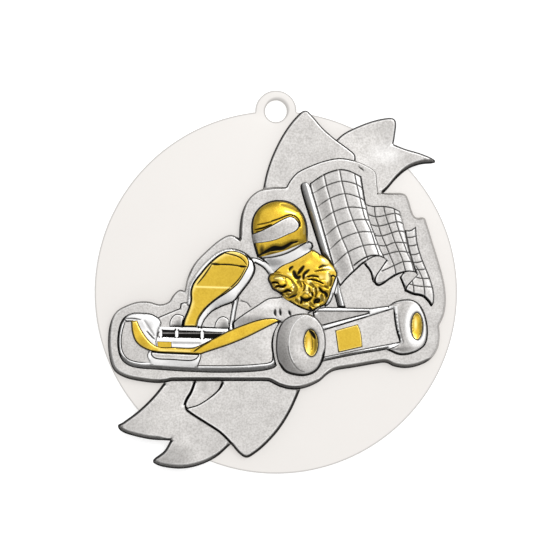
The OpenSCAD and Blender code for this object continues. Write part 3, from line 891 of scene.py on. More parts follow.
END_GRID = lines(
    [(24.9, 10.6), (26, 10.6), (27.3, 10.9)], [(25.2, 9), (26.3, 9), (27.5, 9.3)],
    [(25.6, 7.3), (26.8, 7.3), (28.1, 7.8)], [(26.2, 5.8), (27.4, 5.8), (28.6, 6.2)],
    [(26.8, 4.4), (28, 4.4), (29.3, 4.6)], [(26.3, 3.2), (28, 2.7), (29.9, 2.7)],
    [(25.3, 1.7), (27.5, 1.2), (30.4, 1)],
    [(26.9, 5.1), (27.6, 4), (28.3, 2.4), (28.6, 0.5), (28.7, -1)],
    [(26.2, 2.4), (26.5, 1), (26.6, -0.6)], **GRID)


def pole_stain(f):
    """Painted shade on the pole's left flank, the side away from the lamp, weaker below the flag."""
    flank = cloth((0, 1), (0.18, 0.6), (0.42, 0.1), (0.52, 0), (1, 0), direction=(0.95, 0.3))
    return flank(f) * (0.35 + 0.65 * smoothstep(1.0, 3.5, f.y))


# Driver

FOLD_LINES = strokes(
    (0.26, (2.5, 4.2), (2.8, 4.7), (3.3, 5.05)),
    (0.42, (3.4, 4.2), (3.7, 3.3), (4.2, 2.85), (4.7, 3.1)), (0.3, (4.2, 3.5), (4.7, 4.2), (5.4, 5.1)),
    (0.24, (5.3, 2.5), (5.4, 3.4), (5.8, 3.9), (6.4, 4.35)), (0.15, (5.9, 3), (7, 3.2), (8.3, 3)),
    (0.16, (6.1, 2.5), (7.3, 2.45), (8.3, 2.1), (9.2, 1.65)),
    (0.15, (8.2, 4.7), (9.1, 5.2), (10.1, 5.2)), (0.24, (8.3, 1), (8.8, 0.3), (9.3, -0.1)),
    (0.32, (9.2, 0.2), (9.7, -0.3), (9.85, -1)),
    (0.36, (4.8, -0.8), (5.2, -1.35), (6, -1.45), (6.9, -1)),
    (0.22, (5, -1.3), (4.9, -1.8), (4.7, -2.2)), (0.28, (7.4, -2.2), (7.6, -1.5), (8.5, -1.25)),
    (0.26, (7.6, -1.9), (8.1, -1.8), (8.5, -1.4)), (0.2, (6.9, 0.1), (7.1, -0.7)),
    (0.22, (6.4, -2.8), (6.9, -3.4)), (0.18, (10.5, 3.15), (11, 3.3), (11.5, 3))) + strokes(
    (0.3, (4.3, 2.4), (4.6, 1.7), (4.9, 1)), (0.3, (6.6, 1.8), (7.3, 1.1)),
    (0.14, (7.4, 4.05), (9.5, 4.4), (10.5, 4.35)), (0.2, (10.7, 3.1), (10.7, 2.2), (10.5, 1.2)),
    (0.22, (9.4, 1.2), (10.1, 0.8)), (0.24, (6.5, -1.7), (6.8, -2.4), (7.3, -2.8)),
    (0.3, (8.8, -0.4), (8.9, -1.7)), (0.34, (3.8, -1.3), (4.3, -2.1)),
    (0.2, (5.2, 2), (5.6, 1.2), (5.3, 0.2)), (0.16, (7.6, 1), (7.8, 0.1), (7.6, -0.9)),
    (0.18, (6.4, 0.9), (6.6, -0.2)), dark=0.5, depth=0.2)

FOLD_RIDGES = ridges(
    (0.4, 0.08, 0.9, (5.9, 1.3), (6, 0.6), (6, -0.3)), (0.34, 0.08, 0.5, (7.2, 0.9), (7.3, 0.2)),
    (0.3, 0.06, 0.9, (5.6, 3.1), (5.9, 3.5)), (0.6, 0.05, 1, (10, 3.9), (10, 2.9), (9.8, 2)),
    (0.5, 0.05, 0.9, (9, 4.75), (10.2, 4.7), (11.2, 4.2)),
    (0.75, 0.05, 1, (8.8, 6.4), (9.3, 6.1), (10.1, 5.7)),
    (0.34, 0.06, 0.8, (2.2, 3.7), (2.6, 3.5), (3, 3.2)), (0.3, 0.06, 0.7, (8, 0.8), (8.3, 0.4)),
    (0.28, 0.06, 0.8, (6.4, -1.7), (6.7, -1.9)), (0.34, 0.08, 0.6, (5.3, -2.3), (6, -2.3)),
    (0.34, 0.08, 0.7, (7.6, -2.7), (8.4, -2.4)), (0.3, 0.08, 0.6, (9.3, -1), (9.4, -1.8)))

FINGER_LINES = strokes(
    (0.18, (-1.1, 1.7), (-0.4, 1.95), (0.2, 1.9), (0.6, 1.6)),
    (0.25, (-0.2, 1), (0.5, 1.25), (1.3, 1.1), (2, 1.5)),
    (0.27, (1.2, 0.05), (1.7, 0.15), (2.3, 0.45), (3.1, 0.1)), (0.22, (0.8, 0.1), (1.3, -0.25)),
    (0.26, (2.4, -1.15), (3.4, -0.7), (4.2, -0.4), (4.9, 0.15))) + strokes(
    (0.16, (-1, 3.6), (0.3, 3.65), (1.3, 3.35), (2.4, 3), (3.1, 2.4), (3.7, 1.8)),
    (0.22, (2, -0.5), (2.9, -0.3)), dark=0.5, depth=0.2)

FINGER_RIDGES = ridges(
    (0.42, 0.08, 0.8, (-0.3, 2.7), (0.6, 2.8), (1.6, 2.4)), (0.26, 0.06, 0.8, (-0.3, 1.55), (0.1, 1.6)),
    (0.32, 0.08, 0.9, (3.3, 1.7), (3.4, 0.8)), (0.3, 0.08, 0.8, (0.1, 0.65), (0.9, 0.7), (1.6, 0.75)),
    (0.28, 0.08, 0.7, (1.5, -0.7), (1.8, -0.9)), (0.28, 0.08, 0.6, (2.4, -0.2), (3.4, 0.3)))


def ellipse_share(p, ellipse):
    """How far out points lie in an ellipse (centre, half-axes): 1 on it, less inside."""
    x, y, rx, ry = ellipse
    return np.hypot((p[:, 0] - x) / rx, (p[:, 1] - y) / ry)


def random_waves(seed, size, count):
    """A random landscape: the function of x and y whose hills are about size mm across."""
    rng = np.random.default_rng(seed)
    waves = [(rng.uniform(0, 2 * np.pi), size * rng.uniform(0.6, 1.6),
              rng.uniform(0, 2 * np.pi)) for _ in range(count)]

    def level(x, y):
        z = 0.0
        for a, length, phase in waves:
            z = z + np.sin(2 * np.pi * (x * math.cos(a) + y * math.sin(a)) / length + phase)
        return z / count ** 0.5
    return level


class Folds:
    """Small random folds in a round patch: thin valleys darkened with patina and painted shade, between
    hills brightened as painted highlight.
    """

    DEPTH, PATINA, POLISH = 0.07, 0.34, 0.75

    def __init__(self, patch, size, seed):
        self.patch, self.level = patch, random_waves(seed, size, 6)

    def marks(self, f):
        """How much of a valley and how much of a hill is at each point."""
        level = self.level(f.x, f.y)
        within = 1 - smoothstep(0.65, 1.0, ellipse_share(f.xy, self.patch))
        return within * np.exp(-(level / 0.3) ** 2), within * smoothstep(0.9, 1.5, level)

    def patina(self, f):
        return self.PATINA * self.marks(f)[0]

    def polish(self, f):
        return self.POLISH * self.marks(f)[1]


TORSO_FOLDS = Folds((7.0, 0.4, 5.0, 3.6), size=2.4, seed=21)
ARM_FOLDS = Folds((2.0, 0.6, 4.0, 3.0), size=2.2, seed=4)


def rumpled(edge, depth, size, seed, folds):
    """A dome with soft random waves and small sharp folds."""
    dome, level = domed(edge), random_waves(seed, size, 7)

    def face(f):
        z = dome(f) + depth * level(f.x, f.y) * f.swollen ** 0.5
        return z - folds.DEPTH * folds.marks(f)[0]
    return face


# Wheels

def box_ellipse(node):
    """Centre and half-axes of the ellipse that fills a node's box."""
    low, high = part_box(node)
    return ((low.x + high.x) / 2 / MM, (low.y + high.y) / 2 / MM,
            (high.x - low.x) / 2 / MM, (high.y - low.y) / 2 / MM)


FRONT_HUB, REAR_HUB = box_ellipse("front_hub"), box_ellipse("rear_hub")
# The tyres' side walls, as centre and half-axes
FRONT_FACE = (5.95, -9.8, 3.5, 5.35)
REAR_FACE = (27.0, -6.35, 2.35, 4.45)


ARC_POINTS = 14


def ellipse_path(ellipse, start, end, grow):
    """An arc, in degrees, of an ellipse grown by a factor."""
    x, y, rx, ry = ellipse
    turns = np.radians(np.linspace(start, end, ARC_POINTS))
    return [(x + rx * grow * math.cos(a), y + ry * grow * math.sin(a)) for a in turns]


def tyre(face_ellipse, hub_ellipse, tread_drop, well):
    """A flat side wall, a tread that falls away beside it and a well for the hub."""
    bulge = 0.1

    def face(f):
        q = ellipse_share(f.xy, face_ellipse)
        drop = np.clip((q - 1) / 0.75, 0, 1)
        z = f.height - bulge - tread_drop * drop ** 1.4
        z = z + bulge * np.clip(1 - ((q - 0.72) / 0.3) ** 2, 0, 1)
        h = ellipse_share(f.xy, hub_ellipse)
        return z - well * (1 - smoothstep(0.92, 1.08, h))
    return face


def tread_stain(face_ellipse, shade, foot):
    """Painted shade on the tread, which turns away from the lamp, with foot more of it at its lower left.
    """
    x, y, rx, ry = face_ellipse

    def stain(f):
        q = ellipse_share(f.xy, face_ellipse)
        down_left = (0.6 * (x - f.x) / rx + 0.8 * (y - f.y) / ry) / np.maximum(q, 0.1)
        return (shade + foot * smoothstep(0.3, 0.95, down_left)) * smoothstep(1.0, 1.06, q)
    return stain


def dish(ellipse, depth):
    """A face hollowed by depth mm in the middle of an ellipse."""
    return lambda f: f.height - depth * np.clip(1 - (ellipse_share(f.xy, ellipse) / 0.9) ** 2, 0, 1)


# ---- what each element is

# A style's settings, all optional:
# step        spacing of the mesh's points       walls, dark  (lit side, shaded side)
# face        the carved face's height           roll         width of the edge's rounding
# stain  patina and painted shade over the face  edge_shine   how bright the edges are: wear and painted highlight
# shine       painted highlight over the face        swell        True where face reads f.swollen
# lines       engraved lines and ridges          proud        an inlay's height, as a share
# edges       rows of (which edges, width of their walls, how dark with patina and painted shade, how bright from wear and painted highlight)

THIN = dict(walls=(0.12, 0.3))
ROD = dict(walls=(0.12, 0.26), roll=0.12, step=0.35)


def crowned(edge, **more):
    """The style of a rounded element, edge mm high at its rim."""
    return dict(swell=True, face=domed(edge), **more)


def rod(edge, **more):
    return crowned(edge, **{**ROD, **more})


GRILLE_WINDOWS = [(-21.9, -19.4), (-18.7, -14.5), (-13.9, -10.5)]
GRILLE_SPAN = (-8.75, -7.2)
RIB_ABOVE_MIDDLE = 0.1


def window(low, high, v):
    """1 between low and high, fading out over 0.2 mm beyond them."""
    return smoothstep(low - 0.2, low, v) * (1 - smoothstep(high, high + 0.2, v))


def grille_stain(f):
    """Black patina in the grille's windows, with a plain pale rib across each."""
    from_rib = np.abs(f.y - np.mean(GRILLE_SPAN) - RIB_ABOVE_MIDDLE)
    rib = 1 - 0.6 * (1 - smoothstep(0.04, 0.14, from_rib))
    across = np.maximum.reduce([window(left, right, f.x) for left, right in GRILLE_WINDOWS])
    return across * window(*GRILLE_SPAN, f.y) * rib


def facing(x, y, more_than=0.5):
    """Edges whose outward normal leans towards (x, y)."""
    to = np.array([x, y]) / math.hypot(x, y)
    return lambda o: o.outward @ to > more_than


def open_below(outline):
    """Downward edges with no neighbour beside them."""
    return (outline.start < 0.1) & (outline.outward[:, 1] < -0.5)


def inside(left, low, right, high):
    """Edges whose middles lie inside a box in the plane."""
    return lambda o: ((o.middle > (left, low)) & (o.middle < (right, high))).all(1)


def beside(left, low, right, high, x, y):
    """Edges inside a box in the plane that face (x, y)."""
    return lambda o: inside(left, low, right, high)(o) & facing(x, y, 0.3)(o)


def lit_border(low, high, left=-99.0, right=99.0):
    """Lit edges between x left and right, with a neighbour of a height between low and high."""
    return lambda o: ((o.outward @ LIGHT > -0.3) & (o.start > low) & (o.start < high)
                      & (o.middle[:, 0] > left) & (o.middle[:, 0] < right))


def smear(strength, *ellipse):
    """A soft round patch that darkens, as patina and painted shade, or brightens, as painted highlight:
    its strength, centre and half-axes.
    """
    return lambda f: strength * (1 - smoothstep(0.2, 1.0, ellipse_share(f.xy, ellipse)))


def edge_band(chosen, reach, strength):
    """A band beside chosen edges that fades out over reach mm: a darker tone, or under shine a painted
    highlight.
    """
    def stain(f):
        here = chosen(f.outline)
        d = nearest(f.xy, f.outline.a[here], f.outline.b[here])[1]
        return strength * (1 - smoothstep(0.3 * reach, reach, d))
    return stain


def even(strength):
    """The same strength all over: a light patina, or under shine a slight even brightening."""
    return lambda f: np.full(len(f.xy), strength)


def both(*stains):
    """The strongest of several dark or bright patches at each point."""
    return lambda f: np.maximum.reduce([stain(f) for stain in stains])


ELEMENTS = {
    "bonding_film": dict(step=2, walls=(0.04, 0.04), roll=0.03),
    "ribbon_upper_tail": dict(
        step=0.7, face=wavy(1.36, (0.12, 35, 17, -1.2)), walls=(0.2, 0.75),
        stain=smear(0.04, 25, 31, 3.5, 3.5),
        # Brighter patches over the tail's middle and both ends: painted highlight.
        shine=both(
            smear(0.3, 21.5, 26.8, 4.5, 3), smear(0.15, 30, 25.5, 4, 2), smear(0.15, 17, 23.6, 3.5, 3.5))),
    "ribbon_upper_fold": dict(
        step=0.7, face=wavy(1.74, (0.14, -20, 30, 0.4)), edges=[(facing(-1, 0.2, 0.6), 0.26, 1)],
        stain=smear(0.03, 10, 27, 9, 6)),
    "ribbon_lower_tail": dict(
        step=0.7, walls=(0.2, 0.7), face=wavy(1.36, (0.12, 15, 16, 0.6)),
        edges=[(facing(-0.7, 0.7, 0.6), 0.34, 1), (inside(-22, -30.2, -18.8, -27), 0.35, 1)],
        stain=both(smear(0.23, -21, -32, 8, 4.5), smear(0.09, -28, -26, 8, 3))),
    "ribbon_lower_return": dict(
        step=0.6, walls=(0.12, 0.16), face=wavy(1.3, (0.1, 40, 14, 1.5)),
        stain=smear(0.14, -14, -18, 2, 3)),
    "ribbon_lower_fold": dict(
        step=0.7, walls=(0.2, 0.66), face=wavy(1.74, (0.12, -30, 22, 1)),
        edges=[
            (facing(0.6, -0.8, 0.8), 0.42, 1.1), (inside(-18, -23, -15.1, -20), 0.4, 0.05),
            (facing(-1, -0.5, 0.6), 0.4, 1), (inside(-18.5, -22.3, -13, -14), 0.16, 1)]),
    "emblem_plaque": dict(
        step=0.7, walls=(0.15, 0.66), roll=0.14, dark=(0.6, 1),
        stain=both(
            grille_stain, edge_band(lit_border(-1, 0.1, left=14), 2, 0.08),
            smear(0.08, -29.5, -3.5, 4, 5)),
        edges=[
            (lit_border(-1, 0.1, left=14), 0.24, 0.14, 0), (lit_border(1.4, 1.7), 0.32, 0.1, 0.4),
            (lit_border(1.4, 1.7, left=14), 0.06, 0, 0.3),
            (inside(18.6, 18.4, 21.2, 20.8), 0.1, 0.1, 0),
            (beside(-18.6, -0.6, -16.4, 3, -1, 0.3), 0.18, 0.4),
            (lit_border(1.7, 2.2, left=1.5), 0.15, 0.9),
            (lit_border(1.7, 2.2, right=1.5), 0.32, 0.1, 0.4)],
        lines=groove(0.12, 0.08, 0.5, (-6.5, -1.7), (-5.6, -2), (-5, -2.7))
        + lines([(16.1, 24.1), (16.5, 23.8), (16.9, 23.5)], width=0.16, depth=0.1, dark=0.6, taper=True)
        + lines(
            [(-22.1, -7.2), (-10.3, -7.2)], [(-22.1, -8.75), (-10.3, -8.75)],
            [(-22.1, -8), (-10.3, -8)], width=0.1, depth=0, dark=0)),
    "flag_undersides": dict(
        step=0.35, walls=(0.12, 0.35), face=wavy(0.52, (0.05, 0, 5, 0)),
        # Darker patches just below the front and middle waves: painted shade.
        stain=both(smear(0.16, 18.3, 4.6, 0.9, 3), smear(0.14, 24.6, 2.2, 0.8, 2))),
    "flag_end_wave": dict(
        step=0.3, walls=(0.14, 0.42), lines=END_GRID,
        edges=[(beside(24, 2.5, 27.5, 12.5, -1, -0.3), 0.08, 0.3)],
        face=cloth((0, 0.9), (0.45, 0.97), (0.75, 1), (1, 0.9)),
        # Brighter towards the right edge: painted highlight.
        shine=cloth((0, 0), (0.5, 0.1), (1, 0.35))),
    "flag_middle_wave": dict(
        step=0.3, walls=(0.14, 0.42), lines=MIDDLE_GRID + MIDDLE_HEM,
        edges=[
            (facing(1, 0.3, 0.6), 0.14, 0.08), (inside(24, 2.5, 28, 5), 0.14, 0.8),
            (facing(0.1, 1, 0.75), 0.15, 1, 0)],
        face=cloth((0, 0.72), (0.3, 0.86), (0.62, 1), (0.85, 1), (1, 0.88)),
        stain=cloth((0, 0), (0.3, 0), (0.4, 0.07), (0.62, 0.07), (0.72, 0), (1, 0)),
        # Brighter towards the right edge and a little at the left: painted highlight.
        shine=cloth((0, 0.1), (0.3, 0), (0.7, 0), (0.85, 0.35), (1, 0.45))),
    "flag_front_wave": dict(
        step=0.3, walls=(0.14, 0.42), lines=FRONT_GRID + FRONT_EDGES + FRONT_HEM,
        face=cloth((0, 0.62), (0.3, 0.88), (0.6, 1.14), (0.85, 1.28), (1, 1.16)),
        edges=[
            (facing(-1, -0.3, 0.8), 0.1, 0.8), (facing(1, 0.3, 0.6), 0.16, 0.6),
            (facing(0.1, 1, 0.75), 0.2, 1, 0), (inside(16, 17, 19, 24), 0.24, 1, 0),
            (inside(17.3, 5, 21, 7.5), 0.14, 0.8)],
        # Darker columns next to the pole, on the side away from the lamp: painted shade.
        stain=cloth((0, 0.13), (0.22, 0.13), (0.27, 0), (1, 0)),
        # Brighter towards the right edge: painted highlight.
        shine=cloth((0, 0), (0.25, 0), (0.35, 0.1), (0.8, 0.1), (0.92, 0.6), (1, 0.6))),
    "flag_pole": dict(
        step=0.25, walls=(0.08, 0.3), roll=0.1,
        edges=[
            (facing(-1, -0.3), 0.28, 1), (facing(1, 0.3), 0.08, 0.5),
            (beside(8, -3, 12.6, 2.2, -1, -0.3), 0.18, 0.8)],
        face=cloth((0, 0.5), (0.7, 1.25), (1, 1.15), direction=(0.95, 0.3)), stain=pole_stain,
        # Brighter on the right flank, towards the lamp: painted highlight.
        shine=cloth((0, 0), (0.5, 0), (0.7, 0.4), (1, 0.4), direction=(0.95, 0.3))),
    "neck_collar": rod(
        0.85, edges=[(inside(-1.5, 4, 3.6, 6.6), 0.3, 0.15), (inside(6.4, 7.6, 8, 10.2), 0.26, 1)],
        # Darker all over and at both ends; at the left end this is painted shade.
        stain=both(even(0.2), smear(0.45, -0.6, 5.8, 4, 1.5), smear(0.42, 6, 9, 3, 2)),
        lines=groove(
            0.12, 0.18, 0.8, (5.9, 9.7), (4.8, 9.05), (3.3, 8.15), (1.5, 7.35), (-0.5, 6.85),
            (-2.6, 6.6))),
    "seat_back": rod(0.8),
    "steering_column": rod(0.6, walls=(0.1, 0.24)),
    "driver_leg": rod(
        0.75,
        lines=strokes(
            (0.2, (-0.1, -3.3), (-0.2, -4), (0, -4.5)), (0.2, (0.8, -3.3), (0.9, -4.4)),
            (0.22, (2.5, -3.5), (2.8, -4.4)), dark=0.85, depth=0.25),
        # Darker along the lower part, under the bumper: painted shade; brighter above: painted highlight.
        stain=smear(0.34, -5, -5.6, 6.4, 1.8), shine=smear(0.25, -2, -2.5, 4, 1.1)),
    "driver_torso": dict(
        step=0.17, walls=(0.16, 0.28), swell=True, face=rumpled(1.05, 0.05, 3.4, 5, TORSO_FOLDS),
        stain=TORSO_FOLDS.patina, shine=TORSO_FOLDS.polish, edge_shine=0.2,
        edges=[(facing(0.3, 1, 0.75), 0.16, 0.6)], lines=FOLD_LINES + FOLD_RIDGES),
    "driver_arm": dict(
        step=0.17, walls=(0.16, 0.32), swell=True, face=rumpled(1.45, 0.05, 3.2, 8, ARM_FOLDS),
        stain=ARM_FOLDS.patina, shine=ARM_FOLDS.polish, edge_shine=0.2,
        edges=[(facing(1, 0.6, 0.1), 0.35, 0.05, 0), (inside(1.2, -4, 9, 0.2), 0.4, 0.3)],
        lines=FINGER_LINES + FINGER_RIDGES),
    "helmet_shell": crowned(
        1.1, step=0.28, walls=(0.28, 0.4), edge_shine=0.15,
        edges=[(facing(1, 0, 0.75), 0.34, 0.8), (inside(-3, 6, 7, 10.4), 0.2, 0.25)],
        stain=both(
            smear(0.3, -3.4, 14.8, 0.5, 1.8), smear(0.65, -2.7, 8.2, 0.8, 1.5),
            smear(0.4, -0.6, 7.5, 2.4, 0.6), smear(0.22, 4.8, 11.6, 0.4, 1.3),
            smear(0.13, 1.6, 16.3, 2.2, 0.9)),
        lines=strokes(
            (0.5, (-3.3, 7.1), (-2.4, 7.6), (-1.2, 8.2), (-0.3, 8.6), (1, 8.5), (2, 8.9), (3, 9.5),
             (4.2, 9.8)),
            (0.24, (-0.9, 8), (0.1, 8.2), (1.2, 8.2)),
            (0.15, (-4.1, 12.05), (-2.4, 12.45), (-0.8, 13.1)), dark=1, depth=0.2)
        + strokes(
            (0.12, (-3.7, 13.05), (-2.2, 13.3), (-0.6, 13.7)),
            (0.1, (-3.9, 11.75), (-2.9, 11.8), (-1.9, 12.05)), dark=0.6, depth=0.1)
        + strokes((0.5, (0.9, 17), (2.7, 16.5), (4.5, 15.6)), dark=0.45, depth=0.05)
        + groove(
            0.12, 0.1, 1, (-0.8, 13.75), (0.6, 14.2), (2.2, 14.85), (3.1, 14.9), (4, 14.45),
            (4.6, 13.6), (4.65, 12.7))
        # Bright strokes above the visor and on the right side: painted highlight.
        + groove(0.2, 0, -0.6, (1.8, 15.65), (2.8, 15.4), (3.8, 15.1))
        + groove(0.25, 0, -0.6, (5.5, 12.8), (5.5, 11.4))),
    "far_bodywork": dict(**THIN),
    "fairing_strut": rod(0.6, walls=(0.1, 0.2)),
    "fairing_frame": crowned(
        0.95, step=0.25, walls=(0.12, 0.3), roll=0.12,
        edges=[(facing(-1, 0.4, 0.4), 0.1, 0, 0.2), (beside(-8.5, -1.5, -1.5, 7.5, 1, -0.4), 0.3, 1.1)],
        stain=both(smear(0.24, -10.8, -1.6, 4, 5), smear(0.13, -6.2, 2.2, 1.8, 3.2))),
    "fairing_panel": dict(
        step=0.35, walls=(0.14, 0.26), face=wavy(1.42, (0.05, 60, 20, 0.4)),
        # A brighter band along the upper edge: painted highlight.
        edges=[(facing(-1, 0.35, 0.6), 0.34, 1)], shine=edge_band(facing(-0.5, 0.85, 0.7), 1.2, 0.7),
        lines=strokes(
            (0.11, (-10.4, 7.65), (-9, 7.4), (-7.5, 7), (-6.4, 6.3), (-5.6, 5.3)),
            (0.14, (-12.4, 5.5), (-11.5, 5.4), (-9, 5.35), (-7, 5.1), (-5.6, 4.95)),
            (0.24, (-12.4, 5.5), (-11.6, 5.45), (-10.8, 5.4)),
            (0.22, (-7.3, 5.1), (-6.5, 5), (-5.7, 4.95)),
            (0.12, (-12.3, 5.5), (-13.7, 3.4), (-15.2, 1.5)), dark=0.95, depth=0.1)
        + strokes(
            (0.12, (-5.9, 4.7), (-6.9, 2.9), (-8.2, 1.4), (-9.9, 0), (-12.2, -1.7), (-14, -3.4),
             (-15, -4.9), (-15.5, -6.4)),
            dark=0.9, depth=0.1)
        # A bright line across the lower part: painted highlight.
        + groove(0.2, 0, -1, (-15.6, 1.1), (-12, 1), (-8.7, 0.9))),
    "nose_left_panel": dict(**THIN, face=wavy(0.9, (0.06, 30, 12, 0)), stain=even(0.09)),
    "nose_right_panel": dict(**THIN, face=wavy(0.9, (0.06, 30, 12, 0))),
    "nose_shell": crowned(
        0.95, walls=(0.14, 0.4),
        edges=[
            (inside(-30.5, -6.2, -25, -4.4), 0.12, 0.6),
            (inside(-25.6, -14.4, -23.6, -11.6), 0.12, 0.5),
            (beside(-23.6, -9.6, -21.5, -4.9, 1, 0), 0.14, 0.25),
            (beside(-31.5, -15.6, -27, -4.6, -1, -0.15), 0.38, 1.2), (open_below, 0.74, 0.85)],
        stain=both(
            smear(0.35, -12, -15.4, 26, 3.2), smear(0.22, -18, -13.4, 6, 2), smear(0.2, -25, -6, 3, 1.8)),
        lines=strokes(
            (0.13, (-29.3, -4.9), (-28.9, -5.4), (-28.4, -5.5), (-27.7, -5.5)), dark=1, depth=0.12)
        + strokes(
            (0.11, (-29, -5), (-27.5, -5), (-26, -5.2)),
            (0.2, (-24.9, -7.4), (-24.1, -8.3), (-23.3, -9.1)), dark=0.65, depth=0.1)
        + strokes((0.3, (-25.4, -5.4), (-24.4, -6.9), (-23.4, -8.4)), dark=0.34, depth=0.1)),
    "nose_lip": dict(step=0.35, walls=(0.12, 0.15), face=wavy(1.5, (0.04, 90, 6, 0)), stain=even(0.06)),
    "grille_rails": rod(
        0.8, walls=(0.03, 0.03), roll=0.05, dark=(0, 0),
        lines=groove(0.3, 0.05, 0.36, (-19.9, -9.7), (-17.5, -9.75), (-14.6, -9.8))),
    "bumper_band": crowned(
        1.42, step=0.35, walls=(0.1, 0.17), edge_shine=0.2,
        edges=[
            (beside(-28, -11.5, -22.3, -5, 1, 0.5), 0.12, 0, 0.5),
            (beside(-23.5, -12.4, -15, -10.8, 0, -1), 0.1, 0.9)],
        stain=smear(0.2, -25.2, -9.2, 2.4, 3),
        lines=strokes((0.15, (-12.6, -9.4), (-14.3, -10.3), (-15.8, -11.4)), dark=0.8, depth=0.15)
        + groove(0.14, 0.05, 0.3, (-19.3, -10.75), (-17.5, -10.75), (-15.6, -10.75))
        # Two bright lines along the band: painted highlight.
        + groove(0.16, 0, -0.5, (-26, -6.2), (-25.2, -7.8), (-23.9, -9.4), (-22.7, -10.5))
        + groove(0.24, 0, -0.6, (-22.5, -11.1), (-19, -11.2), (-16.6, -11.3))),
    "bumper_clip": dict(walls=(0.05, 0.05), roll=0.05, dark=(0.3, 0.5), edge_shine=0),
    "side_panel": dict(step=0.5, **THIN, face=wavy(0.9, (0.06, 20, 26, 1)), shine=even(0.04)),
    "side_frame": rod(
        1, walls=(0.1, 0.26),
        edges=[
            (open_below, 0.5, 0.85), (beside(7.2, -15, 24.2, -9.3, -0.2, 1), 0.14, 0.6),
            (beside(22.3, -9.8, 24.3, -3, -1, 0), 0.3, 1),
            (beside(7, -4.4, 14.5, -3.4, 0, -1), 0.14, 0.2, 0),
            (beside(14.5, -4.9, 21, -3.4, 0, -1), 0.2, 0.55, 0),
            (beside(8.5, -6.8, 17.5, -3.9, -0.25, 1), 0.2, 1),
            (inside(22.2, -3.6, 26.5, -1.5), 0.12, 0.15, 0),
            (beside(23, -10.2, 26.5, -2.2, 1, 0), 0.2, 0.05, 0)]),
    "rear_floor": dict(step=0.5, **THIN, stain=even(0.18)),
    "front_tyre": dict(
        step=0.28, walls=(0.14, 0.44), face=tyre(FRONT_FACE, FRONT_HUB, 0.8, 0.2),
        edges=[
            (facing(-1, 0.3, 0.75), 0.16, 0.5), (facing(0.8, 0.6, 0.6), 0.14, 0.45),
            (facing(0.7, -0.7, 0.8), 0.42, 1)],
        stain=both(even(0.08), tread_stain(FRONT_FACE, 0.11, 0.22)),
        lines=[
            # A bright line inside the side wall's left rim: painted highlight.
            Line(ellipse_path(FRONT_FACE, 100, 225, 0.99), width=0.1, depth=-0.03, dark=-0.7),
            Line(ellipse_path(FRONT_FACE, 185, 262, 1.045), width=0.16, depth=0.05, dark=0.45)]),
    "rear_tyre": dict(
        step=0.28, walls=(0.14, 0.4), face=tyre(REAR_FACE, REAR_HUB, 0.3, 0.2),
        edges=[
            (beside(22, -10.2, 25.5, -2, -1, 0), 0.2, 0.05, 0),
            (beside(21.5, -3.4, 25.2, -1.6, 0, -1), 0.1, 0.1, 0), (facing(1, -0.2, 0.6), 0.3, 1)],
        # Darker along the tyre's bottom: painted shade; the side wall is brightened as painted highlight.
        stain=smear(0.3, 24.6, -10.9, 3, 0.8),
        shine=lambda f: 0.6 * (1 - smoothstep(0.85, 1.05, ellipse_share(f.xy, REAR_FACE)))),
}

# Inlays lie on the carved face of the element below them.
INLAYS = {
    "helmet_visor": ("helmet_shell", dict(
        step=0.25, walls=(0.17, 0.07), roll=0.1, proud=0.75, dark=(1, 0.6),
        stain=lambda f: 0.11 - 0.09 * smoothstep(-1, 3, f.x))),
    "front_hub": ("front_tyre", dict(
        step=0.14, walls=(0.12, 0.12), roll=0.1, face=dish(FRONT_HUB, 0.16),
        stain=smear(0.34, FRONT_HUB[0] + 0.85, FRONT_HUB[1] - 0.3, 0.6, 2.2),
        # A bright patch left of the middle: painted highlight.
        shine=smear(0.55, FRONT_HUB[0] - 0.4, FRONT_HUB[1] - 0.6, 0.5, 2),
        lines=strokes((0.42, (6.45, -7.3), (6.85, -7.7), (7.2, -8.2), (7.55, -8.9)), dark=1, depth=0.1)
        + strokes((0.14, (6.75, -8.2), (7, -9.6), (6.9, -11.2)), dark=0.5, depth=0.05))),
    "rear_hub": ("rear_tyre", dict(
        step=0.16, walls=(0.1, 0.12), roll=0.1, face=dish(REAR_HUB, 0.12),
        stain=smear(0.25, REAR_HUB[0] + 0.6, REAR_HUB[1], 0.5, 2.2),
        # A bright patch left of and above the middle: painted highlight.
        shine=smear(0.8, REAR_HUB[0] - 0.25, REAR_HUB[1] + 0.5, 0.45, 1.7))),
    "number_plate": ("side_panel", dict(walls=(0.08, 0.12), roll=0.08, dark=(0.3, 0.9))),
    "footwell_hoops": ("far_bodywork", dict(
        step=0.25, walls=(0.12, 0.12), roll=0.1, proud=0.6,
        stain=both(smear(0.45, -18.7, -6.6, 1.5, 1.9), smear(0.5, -9.8, -7, 1.7, 2)))),
}

SLOTS = {part["node"]: part["material_slot"] for part in frame["record"]["subparts"]}


def finish_piece(piece, node):
    """Gives a piece its node's material and a body, and hides the node's CAD part."""
    piece.data.materials.append(MATERIALS[SLOTS[node]])
    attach(piece, "root")
    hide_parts(node)
    return piece


OUTLINES = {node: Outline(node) for node in [*ELEMENTS, *INLAYS]}
for node, look in ELEMENTS.items():
    rest = [o for name, o in OUTLINES.items() if name != node and name not in INLAYS]
    stand_walls(OUTLINES[node], rest, look)

cast = {}
for node, look in ELEMENTS.items():
    cast[node] = finish_piece(relief(node, "cast_" + node, look), node)
for node, (below, look) in INLAYS.items():
    stand_walls(OUTLINES[node], [], look)
    look["support"] = top_of(cast[below])
    finish_piece(relief(node, "cast_" + node, look), node)


# ---- disc

